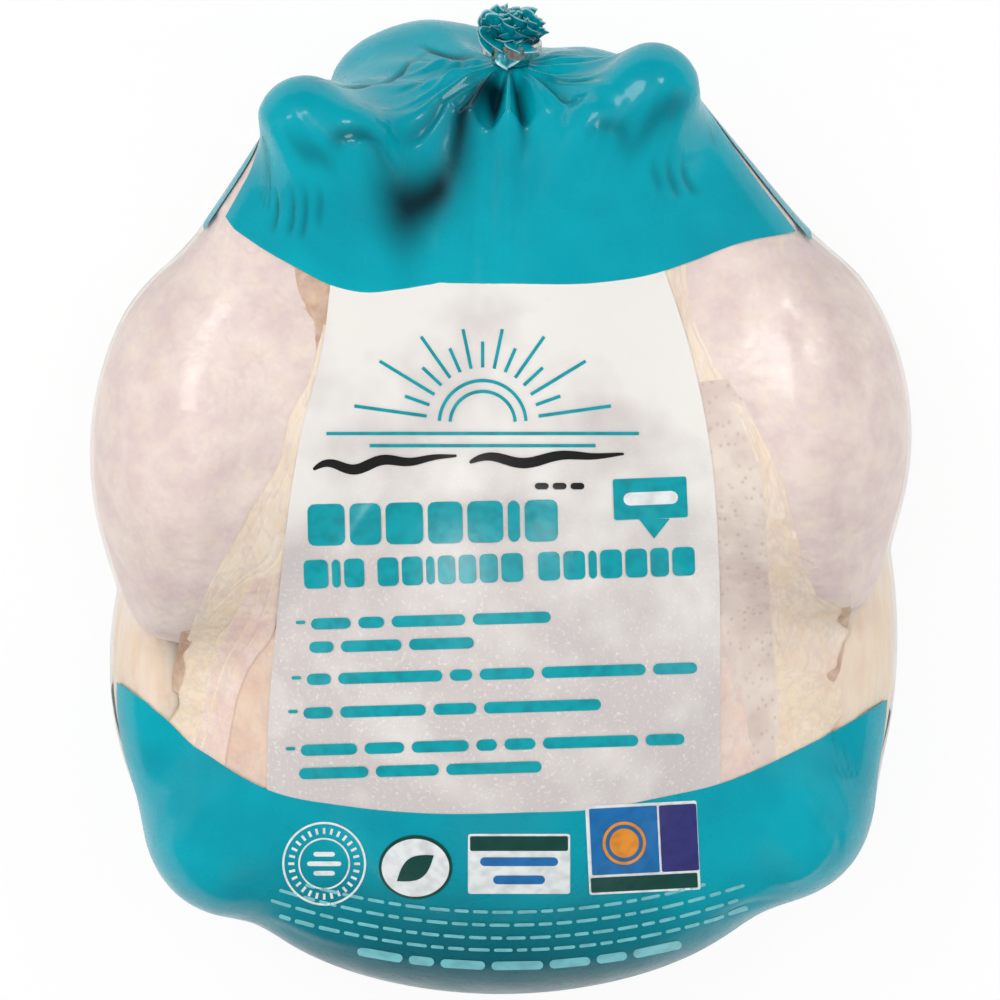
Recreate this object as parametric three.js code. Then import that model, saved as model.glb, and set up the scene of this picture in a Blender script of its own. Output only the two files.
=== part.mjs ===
// A whole raw chicken in its shrunk bag, lying on its back with the breast up, in millimetres.
// x runs across the bird, y from its neck to the clip that closes the bag, z up from the table.
// The bag clings to the bird, so its outer form is that of legs, wings and breast, with film
// stretched over the hollows. The film gathers into pleats at a metal clip, and its tail stands
// past the clip as a ruffled tuft.
import * as THREE from "three";

// Driving dimensions.
const HEART = new THREE.Vector3(0, 0, 60); // the whole bag can be seen from this point inside
const CLIP_FOOT = new THREE.Vector3(2.5, 105.5, 79); // where the pleats meet, under the clip
const FILM_GAP = 0.8; // film outside the skin
const SOFTNESS = 2.6; // how softly two masses of flesh meet
const TABLE = 0; // height of the flat that the bird rests on

const BAG_TURNS = 100; // columns round the axis that runs out through the clip
const BAG_ROWS = 52; // rows from the clip to the neck end
const ROW_CROWDING = 0.5; // 0 spaces the rows evenly, more crowds them toward the clip
const STRETCH_PASSES = 1500;
const SUCTION = 0.6; // how far the film is drawn in where it spans a hollow
const SIDE_SUCTION = 9; // the same between leg and wing, where it clings
const GATHER_SLOPE = 0.5; // how steeply the gathers fall away from the clip
const GATHER_FALL = 11; // degrees down from the clip that the gathers reach

const STUB_RADIUS = 4.1; // gathered film inside the clip
const STUB_HEIGHT = 4.2;
const CLIP_BORE = 4.6;
const CLIP_WALL = 2.2;
const CLIP_HEIGHT = 3.2;
const CLIP_LIFT = 0.5; // clip above the foot of the stub
const CLIP_SIDES = 32;
const TUFT_GAP = 0.3; // between the stub and the tuft
const TUFT_RADIUS = 7.8;
const TUFT_HEIGHT = 7;
const TUFT_TURNS = 78;
const TUFT_ROWS = 12;
const TUFT_RUFFLES = 13;

const TEAL = 0x00a8ba;
const METAL = 0xb9b7b2;

const TAU = 2 * Math.PI;
const degrees = THREE.MathUtils.radToDeg;
const smooth = (from, to, value) => THREE.MathUtils.smoothstep(value, from, to);

// A rounded mass, its long axis leaning in the plan view. What comes back gives a point's
// distance from its skin, by the usual estimate: the scaled size against its slope.
function egg([x, y, z], [a, b, c], leanDegrees = 0) {
  const lean = THREE.MathUtils.degToRad(leanDegrees);
  const cosine = Math.cos(lean);
  const sine = Math.sin(lean);
  return (px, py, pz) => {
    const u = (cosine * (px - x) + sine * (py - y)) / a;
    const v = (cosine * (py - y) - sine * (px - x)) / b;
    const w = (pz - z) / c;
    const size = Math.sqrt(u * u + v * v + w * w);
    const slope = Math.sqrt((u / a) ** 2 + (v / b) ** 2 + (w / c) ** 2);
    return (size * (size - 1)) / Math.max(slope, 1e-9);
  };
}

// A limb, round at both ends, thick at the first and thin at the other, and deeper than wide.
function limb(from, to, thick, thin, deep) {
  const [sx, sy, sz] = [to[0] - from[0], to[1] - from[1], (to[2] - from[2]) / deep];
  const length = sx * sx + sy * sy + sz * sz;
  return (px, py, pz) => {
    const [dx, dy, dz] = [px - from[0], py - from[1], (pz - from[2]) / deep];
    const share = THREE.MathUtils.clamp((dx * sx + dy * sy + dz * sz) / length, 0, 1);
    const gap = Math.sqrt((dx - share * sx) ** 2 + (dy - share * sy) ** 2 + (dz - share * sz) ** 2);
    return gap - THREE.MathUtils.lerp(thick, thin, share);
  };
}

// The bird's masses.
const BIRD = {
  torso: egg([0, -40, 51], [66, 74, 53]),
  breast: egg([0, -38, 68], [49, 62, 42]),
  collar: egg([3, -82, 54], [73, 27, 32]),
  neckEnd: egg([0, -93, 50], [60, 26, 36]),
  belly: egg([0, 20, 56], [46, 52, 32]),
  back: egg([0, 36, 41], [60, 60, 43]),
  spine: egg([0, -2, 30], [40, 72, 32.5]),
  tail: egg([-15, 92, 42], [24, 16, 19]),
  rump: egg([16, 88, 46], [26, 14, 18]),
  legLeft: egg([-67, 14, 66], [26.3, 43, 33], -3),
  thighLeft: egg([-73.5, -12, 62], [12.5, 20, 24], -14),
  shinLeft: limb([-62.5, 36, 66], [-39.5, 88, 78], 20, 10.5, 1.15),
  knuckleLeftOuter: egg([-43.5, 92, 90], [9.5, 9, 9.5], 20),
  knuckleLeftInner: egg([-33, 86, 92], [11, 8.5, 9], -25),
  legRight: egg([67.5, 19, 66], [26, 40, 33], 4),
  thighRight: egg([75, -7, 62], [12.5, 20, 24], 12),
  shinRight: limb([61, 42, 66], [31.5, 94, 79], 20.5, 10.5, 1.15),
  knuckleRightOuter: egg([33.5, 98, 91], [10, 10, 9.5], -20),
  knuckleRightInner: egg([22, 90, 93], [10, 8.5, 9], 25),
  wingLeft: egg([-77, -43, 46], [14.4, 35, 24]),
  shoulderLeft: egg([-62.5, -78, 52], [21, 22.5, 27]),
  wingRight: egg([77, -38, 46], [16, 44, 24]),
  shoulderRight: egg([66.5, -75, 52], [20.3, 20.5, 27]),
};
const MASSES = Object.values(BIRD);

// Distance from the whole bird, its masses softly blended.
function birdDistance(x, y, z) {
  let sum = 0;
  for (const distance of MASSES) sum += Math.exp(-distance(x, y, z) / SOFTNESS);
  return -SOFTNESS * Math.log(Math.max(sum, 1e-300));
}

// The bag's own axes: from the heart out through the clip, to the right, and up out of the breast.
const POLE = CLIP_FOOT.clone().sub(HEART).normalize();
const RIGHT = new THREE.Vector3(1, 0, 0).addScaledVector(POLE, -POLE.x).normalize();
const FRONT = RIGHT.clone().cross(POLE);
const POLE_REACH = CLIP_FOOT.distanceTo(HEART);

// The way out from the heart at an angle round the pole and an angle down from it.
function wayOut(turn, fall) {
  return POLE.clone()
    .multiplyScalar(Math.cos(fall))
    .addScaledVector(RIGHT, Math.sin(fall) * Math.cos(turn))
    .addScaledVector(FRONT, Math.sin(fall) * Math.sin(turn));
}

// How far out the skin lies on one way, walking in from well outside.
function skinReach(way) {
  const outside = 170;
  const caution = 0.7;
  const near = 0.02;
  let reach = outside;
  for (let gap = Infinity; gap > near; reach -= caution * gap) {
    gap = birdDistance(HEART.x + reach * way.x, HEART.y + reach * way.y, HEART.z + reach * way.z);
  }
  return reach;
}

// How far out the gathers lie: a cone of film that the clip draws up out of the rest.
function gatherReach(fall) {
  if (degrees(fall) > GATHER_FALL) return 0;
  return POLE_REACH / (Math.cos(fall) + GATHER_SLOPE * Math.sin(fall));
}

// The grid of the bag: rows fall away from the clip, columns turn round the pole.
const rowShare = (row) => row / BAG_ROWS;
const fallOf = (row) => Math.PI * ((1 - ROW_CROWDING) * rowShare(row) + ROW_CROWDING * rowShare(row) ** 2);
const turnOf = (column) => (TAU * column) / BAG_TURNS;

// The film is drawn in hard only at the bird's sides, between leg and wing.
function suctionAt(turn, fall) {
  const sideways = smooth(0.5, 0.75, Math.abs(Math.cos(turn)));
  const between = smooth(50, 70, degrees(fall)) * (1 - smooth(118, 130, degrees(fall)));
  return SUCTION + SIDE_SUCTION * sideways * between;
}

// One over the reach of the film, on the grid. The film lies on the skin where it can and is drawn
// straight across the hollows: each pass moves every point to where its four neighbours pull it,
// but never in through the skin or the gathers.
function stretchedFilm() {
  const film = [];
  for (let row = 0; row <= BAG_ROWS; row++) {
    film.push(Float64Array.from({ length: BAG_TURNS }, (_, column) => {
      const onSkin = skinReach(wayOut(turnOf(column), fallOf(row))) + FILM_GAP;
      return 1 / Math.max(onSkin, gatherReach(fallOf(row)));
    }));
  }
  const skin = film.map((row) => row.slice());
  const step = 1 / BAG_ROWS;
  const across = TAU / BAG_TURNS;
  for (let pass = 0; pass < STRETCH_PASSES; pass++) {
    for (let row = 1; row < BAG_ROWS; row++) {
      const fall = fallOf(row);
      const pace = Math.PI * (1 - ROW_CROWDING + 2 * ROW_CROWDING * rowShare(row));
      const growth = TAU * ROW_CROWDING;
      const along = 1 / (pace * step) ** 2;
      const round = 1 / (Math.sin(fall) * across) ** 2;
      const bias = (1 / Math.tan(fall) / pace - growth / pace ** 3) / (2 * step);
      for (let column = 0; column < BAG_TURNS; column++) {
        const [above, below] = [film[row - 1][column], film[row + 1][column]];
        const left = film[row][(column + BAG_TURNS - 1) % BAG_TURNS];
        const right = film[row][(column + 1) % BAG_TURNS];
        const pull = along * (above + below) + bias * (below - above) + round * (left + right);
        const suction = suctionAt(turnOf(column), fall);
        const taut = pull / (2 * along + 2 * round - 2 - suction);
        film[row][column] = Math.min(skin[row][column], taut);
      }
    }
  }
  return film;
}

// Pleats that run from the clip: each at a turn in degrees, standing out by height in mm, and
// fading by so many degrees down from the pole.
const PLEAT_WIDTH = 7;
const PLEATS = [
  { turn: 180, height: 2.2, fade: 16 },
  { turn: 149, height: 3.4, fade: 23 },
  { turn: 121, height: 3.6, fade: 17 },
  { turn: 92, height: 3.4, fade: 13 },
  { turn: 66, height: 3, fade: 16 },
  { turn: 40, height: 2.2, fade: 14 },
  { turn: 14, height: 2.2, fade: 16 },
  { turn: -12, height: 2.6, fade: 16 },
  { turn: -36, height: 2.6, fade: 17 },
  { turn: -62, height: 2.2, fade: 18 },
  { turn: -90, height: 2.4, fade: 17 },
  { turn: -118, height: 2.2, fade: 18 },
  { turn: -148, height: 2.4, fade: 17 },
];
// Hollows on either side of the middle pleat, each centred so many degrees down from the pole.
const HOLLOWS = [
  { turn: 108, width: 13, depth: 5.5, fall: 15, length: 8 },
  { turn: 77, width: 10, depth: 2.6, fall: 14, length: 6 },
];

const bell = (offset, width) => Math.exp(-((offset / width) ** 2));
const turnGap = (turn, other) => THREE.MathUtils.euclideanModulo(turn - other + 180, 360) - 180;

// How far the pleats lift the film, or the hollows sink it, at one place.
function pleating(turn, fall) {
  const [turned, fallen] = [degrees(turn), degrees(fall)];
  let lift = 0;
  for (const pleat of PLEATS) {
    lift += pleat.height * bell(turnGap(turned, pleat.turn), PLEAT_WIDTH) * bell(fallen, pleat.fade);
  }
  for (const hollow of HOLLOWS) {
    const sink = bell(turnGap(turned, hollow.turn), hollow.width);
    lift -= hollow.depth * sink * bell(fallen - hollow.fall, hollow.length);
  }
  return lift * smooth(1.5, 7, fallen);
}

// The bag as one closed form: the stub of gathered film at the pole, then the film row by row.
function bagGeometry() {
  const film = stretchedFilm();
  const points = [];
  const addRing = (fall, reachOf) => {
    for (let column = 0; column < BAG_TURNS; column++) {
      const point = wayOut(turnOf(column), fall).multiplyScalar(reachOf(column)).add(HEART);
      point.z = Math.max(point.z, TABLE);
      points.push(point);
    }
  };
  for (const height of [POLE_REACH + STUB_HEIGHT, POLE_REACH]) {
    addRing(Math.atan2(STUB_RADIUS, height), () => Math.hypot(STUB_RADIUS, height));
  }
  for (let row = 2; row < BAG_ROWS; row++) {
    const fall = fallOf(row);
    addRing(fall, (column) => 1 / film[row][column] + pleating(turnOf(column), fall));
  }
  const top = wayOut(0, 0).multiplyScalar(POLE_REACH + STUB_HEIGHT).add(HEART);
  const end = wayOut(0, Math.PI).multiplyScalar(1 / film[BAG_ROWS][0]).add(HEART);
  return closedRings(points, BAG_TURNS, top, end);
}

// Joins rings of so many points each, with a point at each end, into a closed mesh.
function closedRings(points, count, first, last) {
  const rings = points.length / count;
  const geometry = new THREE.BufferGeometry().setFromPoints([...points, first, last]);
  const [firstIndex, lastIndex] = [points.length, points.length + 1];
  const index = [];
  for (let here = 0; here < count; here++) {
    const next = (here + 1) % count;
    index.push(firstIndex, next, here);
    for (let ring = 0; ring + 1 < rings; ring++) {
      const [a, b] = [ring * count + here, ring * count + next];
      index.push(a, b, a + count, b, b + count, a + count);
    }
    index.push(lastIndex, (rings - 1) * count + here, (rings - 1) * count + next);
  }
  geometry.setIndex(index);
  geometry.computeVertexNormals();
  return geometry;
}

// The clip: a metal band bent round the stub, its edges eased.
function clipGeometry() {
  const [inner, outer, ease] = [CLIP_BORE, CLIP_BORE + CLIP_WALL, 0.5];
  const profile = [
    [inner, ease],
    [inner + ease, 0],
    [outer - ease, 0],
    [outer, ease],
    [outer, CLIP_HEIGHT - ease],
    [outer - ease, CLIP_HEIGHT],
    [inner + ease, CLIP_HEIGHT],
    [inner, CLIP_HEIGHT - ease],
    [inner, ease],
  ].map(([x, y]) => new THREE.Vector2(x, y));
  return new THREE.LatheGeometry(profile, CLIP_SIDES);
}

// The tuft: the bag's tail past the clip, a head of ruffles on a narrow foot.
function tuftGeometry() {
  const points = [];
  for (let row = 0; row < TUFT_ROWS; row++) {
    const share = row / (TUFT_ROWS - 1);
    const swell = Math.sin(Math.PI * (0.17 + 0.8 * share));
    const height = (TUFT_HEIGHT * (1 - Math.cos(Math.PI * share))) / 2;
    const depth = 0.32 * Math.sin(Math.PI * share);
    for (let column = 0; column < TUFT_TURNS; column++) {
      const turn = (TAU * column) / TUFT_TURNS;
      const ruffle = Math.cos(TUFT_RUFFLES * turn + 1.4 * Math.sin(3 * turn) + 2 * share);
      const lobe = 1 + 0.08 * Math.cos(2 * turn);
      const radius = TUFT_RADIUS * swell * lobe * (1 + depth * (0.45 * ruffle - 0.2));
      points.push(new THREE.Vector3(radius * Math.cos(turn), height, -radius * Math.sin(turn)));
    }
  }
  const foot = new THREE.Vector3(0, 0, 0);
  const crown = new THREE.Vector3(0, TUFT_HEIGHT, 0);
  return closedRings(points, TUFT_TURNS, foot, crown);
}

function finish(color, roughness, metalness = 0) {
  return new THREE.MeshStandardMaterial({ color, roughness, metalness });
}

function named(name, geometry, material) {
  const mesh = new THREE.Mesh(geometry, material);
  mesh.name = name;
  return mesh;
}

const pack = new THREE.Group();
pack.add(named("bagged_chicken", bagGeometry(), finish(TEAL, 0.3)));

// Clip and tuft are made upright and stand on the pole.
const closure = new THREE.Group();
closure.position.copy(CLIP_FOOT);
closure.quaternion.setFromUnitVectors(new THREE.Vector3(0, 1, 0), POLE);
const clip = named("bag_clip", clipGeometry(), finish(METAL, 0.35, 0.9));
clip.position.y = CLIP_LIFT;
const tuft = named("bag_tuft", tuftGeometry(), finish(TEAL, 0.3));
tuft.position.y = STUB_HEIGHT + TUFT_GAP;
closure.add(clip, tuft);
pack.add(closure);

export default pack;
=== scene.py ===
"""Looks of a whole raw chicken in its printed shrink bag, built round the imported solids.

The bird lies on its back with the breast up. Clear film clings to it, printed with a band at
the clip, a pale panel down the breast and a band at the neck. The film gathers into pleats at a
metal clip and ends in a ruffled tuft. Shapes are worked out in millimetres and written to
meshes in metres.
"""
import logging
import math
from dataclasses import dataclass, field
from enum import Enum
from functools import cache

import bpy
import numpy as np
from mathutils import Matrix

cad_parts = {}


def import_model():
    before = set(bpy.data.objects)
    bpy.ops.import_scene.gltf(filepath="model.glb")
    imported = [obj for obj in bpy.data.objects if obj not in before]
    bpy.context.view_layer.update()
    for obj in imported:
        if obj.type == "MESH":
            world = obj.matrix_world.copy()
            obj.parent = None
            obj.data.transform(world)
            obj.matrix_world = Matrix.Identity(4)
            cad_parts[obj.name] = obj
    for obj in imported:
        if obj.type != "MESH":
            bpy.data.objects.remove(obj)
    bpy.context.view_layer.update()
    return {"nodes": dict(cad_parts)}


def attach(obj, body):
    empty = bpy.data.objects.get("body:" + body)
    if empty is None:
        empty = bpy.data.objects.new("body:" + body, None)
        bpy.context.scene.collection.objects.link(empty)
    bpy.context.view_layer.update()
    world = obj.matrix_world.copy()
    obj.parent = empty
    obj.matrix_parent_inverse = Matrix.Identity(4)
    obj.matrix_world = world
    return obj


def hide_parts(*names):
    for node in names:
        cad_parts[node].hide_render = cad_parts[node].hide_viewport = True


log = logging.getLogger("bagged_chicken")

MM = 0.001
TAU = 2 * math.pi
BODY = "root"
BAG_NODE = "bagged_chicken"
CLIP_NODE = "bag_clip"
TUFT_NODE = "bag_tuft"

# The camera looks down on the breast, tilted toward the clip. Lengths in millimetres.
HEART = np.array([0.0, 0.0, 60.0])
CAMERA_TILT = math.radians(12)
CAMERA_DISTANCE = 1100.0
VIEW_WIDTH = 231.7
SENSOR = 36.0
TO_CAMERA = np.array([0.0, math.sin(CAMERA_TILT), math.cos(CAMERA_TILT)])
VIEW_UP = np.array([0.0, math.cos(CAMERA_TILT), -math.sin(CAMERA_TILT)])
VIEW_RIGHT = np.array([1.0, 0.0, 0.0])


def smooth(low: float, high: float, value: np.ndarray) -> np.ndarray:
    """Rises from 0 at low to 1 at high along 3t^2 - 2t^3.

    Args:
        low: where the share is 0.
        high: where it is 1; it lies below low for a share that falls.
        value: the values to test.

    Returns:
        The share risen, in the shape of value.
    """
    share = np.clip((value - low) / (high - low), 0, 1)
    return share * share * (3 - 2 * share)


def bell(offset: np.ndarray, width: float) -> np.ndarray:
    """A bell of height 1: e to the minus (offset over width) squared."""
    return np.exp(-((offset / width) ** 2))


def turn_gap(turn: np.ndarray, other: float) -> np.ndarray:
    """The angle from other to turn in degrees, between -180 and 180."""
    return (turn - other + 180) % 360 - 180


def unit(vector: np.ndarray) -> np.ndarray:
    """The vectors along the last axis, made one long."""
    return vector / np.linalg.norm(vector, axis=-1, keepdims=True)


def ripple(u: np.ndarray, v: np.ndarray, pitch: float, seed: float) -> np.ndarray:
    """Soft irregular waves: a sum of sines that run in spread-out directions.

    Args:
        u: first coordinate.
        v: second coordinate, in the same unit.
        pitch: rough length of one wave in that unit.
        seed: shifts the waves, so that two ripples differ.

    Returns:
        Heights between about -1 and 1.
    """
    total = np.zeros(np.broadcast(u, v).shape)
    for k in range(6):
        heading = 2.4 * k + seed
        rate = TAU / pitch * (0.7 + 0.13 * k)
        total += np.sin(rate * (u * math.cos(heading) + v * math.sin(heading)) + 1.7 * k * seed)
    return total / 3


# The bird


@dataclass(frozen=True)
class Egg:
    """A rounded mass of flesh, its long axis leaning in the plan view, in millimetres."""

    at: tuple[float, float, float]
    radii: tuple[float, float, float]
    lean: float = 0.0

    def distance(self, points: np.ndarray) -> np.ndarray:
        """Distance from the skin, by the usual estimate: scaled size against its slope.

        Args:
            points: places in millimetres, on the last axis.

        Returns:
            One distance for each place.
        """
        offset = points - np.array(self.at)
        cosine = math.cos(math.radians(self.lean))
        sine = math.sin(math.radians(self.lean))
        across = cosine * offset[..., 0] + sine * offset[..., 1]
        along = cosine * offset[..., 1] - sine * offset[..., 0]
        radii = np.array(self.radii)
        scaled = np.stack([across, along, offset[..., 2]], -1) / radii
        size = np.linalg.norm(scaled, axis=-1)
        slope = np.linalg.norm(scaled / radii, axis=-1)
        return size * (size - 1) / np.maximum(slope, 1e-9)


@dataclass(frozen=True)
class Limb:
    """A limb, round at both ends, thick at the first, and deeper than wide."""

    start: tuple[float, float, float]
    end: tuple[float, float, float]
    thick: float
    thin: float
    deep: float = 1.0

    def distance(self, points: np.ndarray) -> np.ndarray:
        """Distance from the skin: the gap to the middle line less the radius there.

        Args:
            points: places in millimetres, on the last axis.

        Returns:
            One distance for each place.
        """
        squash = np.array([1, 1, 1 / self.deep])
        start = np.array(self.start) * squash
        along = np.array(self.end) * squash - start
        offset = points * squash - start
        share = np.clip(offset @ along / (along @ along), 0, 1)
        gap = np.linalg.norm(offset - share[..., None] * along, axis=-1)
        return gap - (self.thick + share * (self.thin - self.thick))


class Flesh(Enum):
    """The parts of the bird that show as pieces of their own."""

    BODY = "body"
    LEG_LEFT = "leg_left"
    LEG_RIGHT = "leg_right"
    WING_LEFT = "wing_left"
    WING_RIGHT = "wing_right"


# How softly masses run into one another, in millimetres
SOFTNESS = 2.6
MASSES: dict[Flesh, list[Egg | Limb]] = {
    Flesh.BODY: [
        Egg((0, -40, 51), (66, 74, 53)),
        Egg((0, -38, 68), (49, 62, 42)),
        Egg((3, -82, 54), (73, 27, 32)),
        Egg((0, -93, 50), (60, 26, 36)),
        Egg((0, 20, 56), (46, 52, 32)),
        Egg((0, 36, 41), (60, 60, 43)),
        Egg((0, -2, 30), (40, 72, 32.5)),
        Egg((-15, 92, 42), (24, 16, 19)),
        Egg((16, 88, 46), (26, 14, 18)),
    ],
    Flesh.LEG_LEFT: [
        Egg((-67, 14, 66), (26.3, 43, 33), -3),
        Egg((-73.5, -12, 62), (12.5, 20, 24), -14),
        Limb((-62.5, 36, 66), (-39.5, 88, 78), 20, 10.5, 1.15),
        Egg((-43.5, 92, 90), (9.5, 9, 9.5), 20),
        Egg((-33, 86, 92), (11, 8.5, 9), -25),
    ],
    Flesh.LEG_RIGHT: [
        Egg((67.5, 19, 66), (26, 40, 33), 4),
        Egg((75, -7, 62), (12.5, 20, 24), 12),
        Limb((61, 42, 66), (31.5, 94, 79), 20.5, 10.5, 1.15),
        Egg((33.5, 98, 91), (10, 10, 9.5), -20),
        Egg((22, 90, 93), (10, 8.5, 9), 25),
    ],
    Flesh.WING_LEFT: [
        Egg((-77, -43, 46), (14.4, 35, 24)),
        Egg((-62.5, -78, 52), (21, 22.5, 27)),
    ],
    Flesh.WING_RIGHT: [
        Egg((77, -38, 46), (16, 44, 24)),
        Egg((66.5, -75, 52), (20.3, 20.5, 27)),
    ],
}


def blended_distance(masses: list[Egg | Limb], points: np.ndarray) -> np.ndarray:
    """Distance from masses that run softly into one another.

    It is minus s times the log of the sum of e to the minus distance over s.

    Args:
        masses: the masses to blend.
        points: places in millimetres, on the last axis.

    Returns:
        One distance for each place.
    """
    total = np.zeros(points.shape[:-1])
    for mass in masses:
        total += np.exp(-np.clip(mass.distance(points), -60, 400) / SOFTNESS)
    return -SOFTNESS * np.log(np.maximum(total, 1e-300))


def skin_reach(masses: list[Egg | Limb], heart: np.ndarray, ways: np.ndarray,
               inset: float | np.ndarray = 0.0) -> np.ndarray:
    """How far out the skin lies on each way, walking in from well outside.

    Args:
        masses: the masses whose skin is sought.
        heart: the point that every way starts from.
        ways: directions one long, on the last axis.
        inset: how far inside the masses the skin is to lie.

    Returns:
        The reach on each way in millimetres.
    """
    outside = 170.0
    steps = 55
    caution = 0.72
    reach = np.full(ways.shape[:-1], outside)
    for _ in range(steps):
        gap = blended_distance(masses, heart + reach[..., None] * ways) + inset
        reach = np.maximum(reach - caution * np.where(gap > 0.02, gap, 0), 0)
    return reach


# The bag's form


@dataclass(frozen=True)
class Pleat:
    """A ridge of film that runs down from the clip."""

    turn: float
    height: float
    fade: float
    width: float = 7.0


@dataclass(frozen=True)
class Hollow:
    """A dip of the film beside the middle pleat."""

    turn: float
    width: float
    depth: float
    fall: float
    length: float


@dataclass(frozen=True)
class Crease:
    """A fold that runs straight over the film between two places that the camera sees.

    The places are millimetres right of and above the view's middle. The fold is highest at the
    share peak of its length; height is below zero for a furrow. Width is half its breadth, and
    ink how much painted shade darkens the print along it.
    """

    start: tuple[float, float]
    end: tuple[float, float]
    height: float
    width: float
    peak: float = 0.5
    # ink: painted shade, how much darker the print is made along the crease
    ink: float = 0.0


PLEATS = [
    Pleat(180, 2.2, 16),
    Pleat(149, 3.4, 23),
    Pleat(121, 3.6, 17),
    Pleat(92, 3.4, 13),
    Pleat(66, 3.0, 16),
    Pleat(40, 2.2, 14),
    Pleat(14, 2.2, 16),
    Pleat(-12, 2.6, 16),
    Pleat(-36, 2.6, 17),
    Pleat(-62, 2.2, 18),
    Pleat(-90, 2.4, 17),
    Pleat(-118, 2.2, 18),
    Pleat(-148, 2.4, 17),
]
HOLLOWS = [Hollow(108, 13, 5.5, 15, 8), Hollow(77, 10, 2.6, 14, 6)]
CREASES = [
    # the valley left of the middle pleat and the notches beside the pleat; ink paints shade into the valley
    # and the notches
    Crease((1.4, 99.6), (-12.5, 74.1), -0.6, 3.2, ink=1.0),
    Crease((-5.6, 87.6), (-28.3, 55.1), -1.2, 2.9, ink=1.0),
    Crease((0.9, 100.1), (-2.3, 77.6), -1.3, 1.5, peak=0.4, ink=0.75),
    Crease((-3.2, 94.1), (-8.8, 74.1), 0.8, 1.0),
    Crease((1.9, 100.6), (1.6, 80.6), 1.6, 0.8, peak=0.45),
    Crease((1.6, 86.2), (1.2, 63.7), 1.1, 1.8, peak=0.4),
    Crease((3, 99.6), (5.8, 76.9), -1.8, 1.3, peak=0.55, ink=0.9),
    # ridges, and furrows darkened with painted shade, that run down from the clip to both sides
    Crease((2.5, 100.8), (-26.2, 81.1), 1.6, 1.1, peak=0.45),
    Crease((-2.3, 100.1), (-28.7, 85.3), -0.9, 1.3, ink=0.4),
    Crease((-2.1, 102.2), (-29.7, 90.8), 1.0, 0.9),
    Crease((-4.2, 101.9), (-26.2, 93.6), -0.8, 0.9, ink=0.3),
    Crease((-4.6, 103.1), (-25, 97.3), 0.8, 0.9),
    Crease((4.4, 100.1), (16.5, 89.7), 1.2, 0.9),
    Crease((6.5, 99.2), (19, 90.8), -0.9, 1.0, ink=0.4),
    Crease((6.3, 101.5), (19, 104.3), 1.0, 0.9),
    Crease((7.9, 98.7), (25.5, 98.2), -1.0, 1.0, ink=0.4),
    Crease((10, 97.1), (29.9, 88), 0.7, 1.2),
    Crease((5.8, 96.4), (23.2, 64.4), 0.8, 2.2),
    # the folds over the tail behind the clip, darkened with painted shade
    Crease((-44.9, 95.9), (-14.8, 105.7), -0.9, 0.7, ink=0.9),
    Crease((-19.9, 105.7), (-4.6, 102.9), -0.8, 0.8, ink=0.8),
    # left knuckle: the crease under it, its hook and the fine wrinkles below, darkened with painted shade
    Crease((-50, 82), (-36.6, 77.4), -1.1, 0.9, peak=0.6, ink=0.4),
    Crease((-39.9, 78.3), (-24.1, 80.4), -1.2, 1.2, peak=0.7, ink=0.6),
    Crease((-29.7, 83.9), (-26, 75.1), -0.6, 1.2, ink=0.15),
    Crease((-51.7, 73.7), (-53.8, 60.7), -0.5, 0.5, ink=0.3),
    Crease((-48.2, 74.6), (-50, 60.2), -0.6, 0.5, ink=0.4),
    Crease((-44.7, 74.1), (-46.8, 59.3), -0.6, 0.5, ink=0.4),
    Crease((-41, 73.2), (-42.6, 62.1), -0.5, 0.5, ink=0.3),
    # right knuckle: the crease under it and the wrinkles below, darkened with painted shade
    Crease((17.8, 83.9), (32.4, 80.6), -1.0, 1.1, ink=0.4),
    Crease((27.8, 80.2), (44.9, 88.5), -1.2, 1.4, ink=0.45),
    Crease((34.3, 79.2), (38, 70.4), -0.5, 0.5, ink=0.3),
    Crease((38, 80.2), (42.6, 69.5), -0.6, 0.5, ink=0.4),
    Crease((41.7, 81.1), (47.3, 70.4), -0.6, 0.5, ink=0.4),
    # the taut lines of clear film over the hollow by the left leg
    Crease((-50, 54.7), (-47.3, 45.4), 0.8, 0.5),
    Crease((-48.2, 47), (-40.5, 40.1), 0.8, 0.5),
    # the fine furrows that fan out over the skin below both legs
    Crease((62.8, -7.6), (73.7, -23.6), -0.5, 0.45),
    Crease((64.4, -2.8), (76.9, -21.8), -0.5, 0.45),
    Crease((62.1, -14.4), (69.5, -26), -0.5, 0.45),
    Crease((63.9, 5.1), (72.3, -13.9), -0.4, 0.45),
    Crease((-55.1, 2.8), (-66.7, -15.3), -0.4, 0.45),
    Crease((-52.8, 7.9), (-63.5, -7.4), -0.4, 0.45),
    Crease((-57, -2.8), (-68.6, -22.7), -0.4, 0.45),
    # soft folds above the panel and in the lower band
    Crease((-13, 63.5), (-14.8, 48.2), 0.8, 1.4),
    Crease((-3.2, 68.4), (-4.2, 57.9), 0.7, 1.0),
    Crease((1.4, 68.4), (2.1, 53.8), 0.8, 1.2),
    Crease((-76, -52), (-66, -80), 0.7, 1.6),
    Crease((-66, -62), (-58, -92), -0.7, 1.4),
    Crease((-58, -96), (-30, -103), 0.6, 1.6),
    Crease((70, -62), (78, -84), -0.7, 1.4),
    Crease((60, -90), (76, -78), 0.7, 1.5),
    Crease((50, -97), (66, -92), -0.6, 1.4),
]


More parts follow.
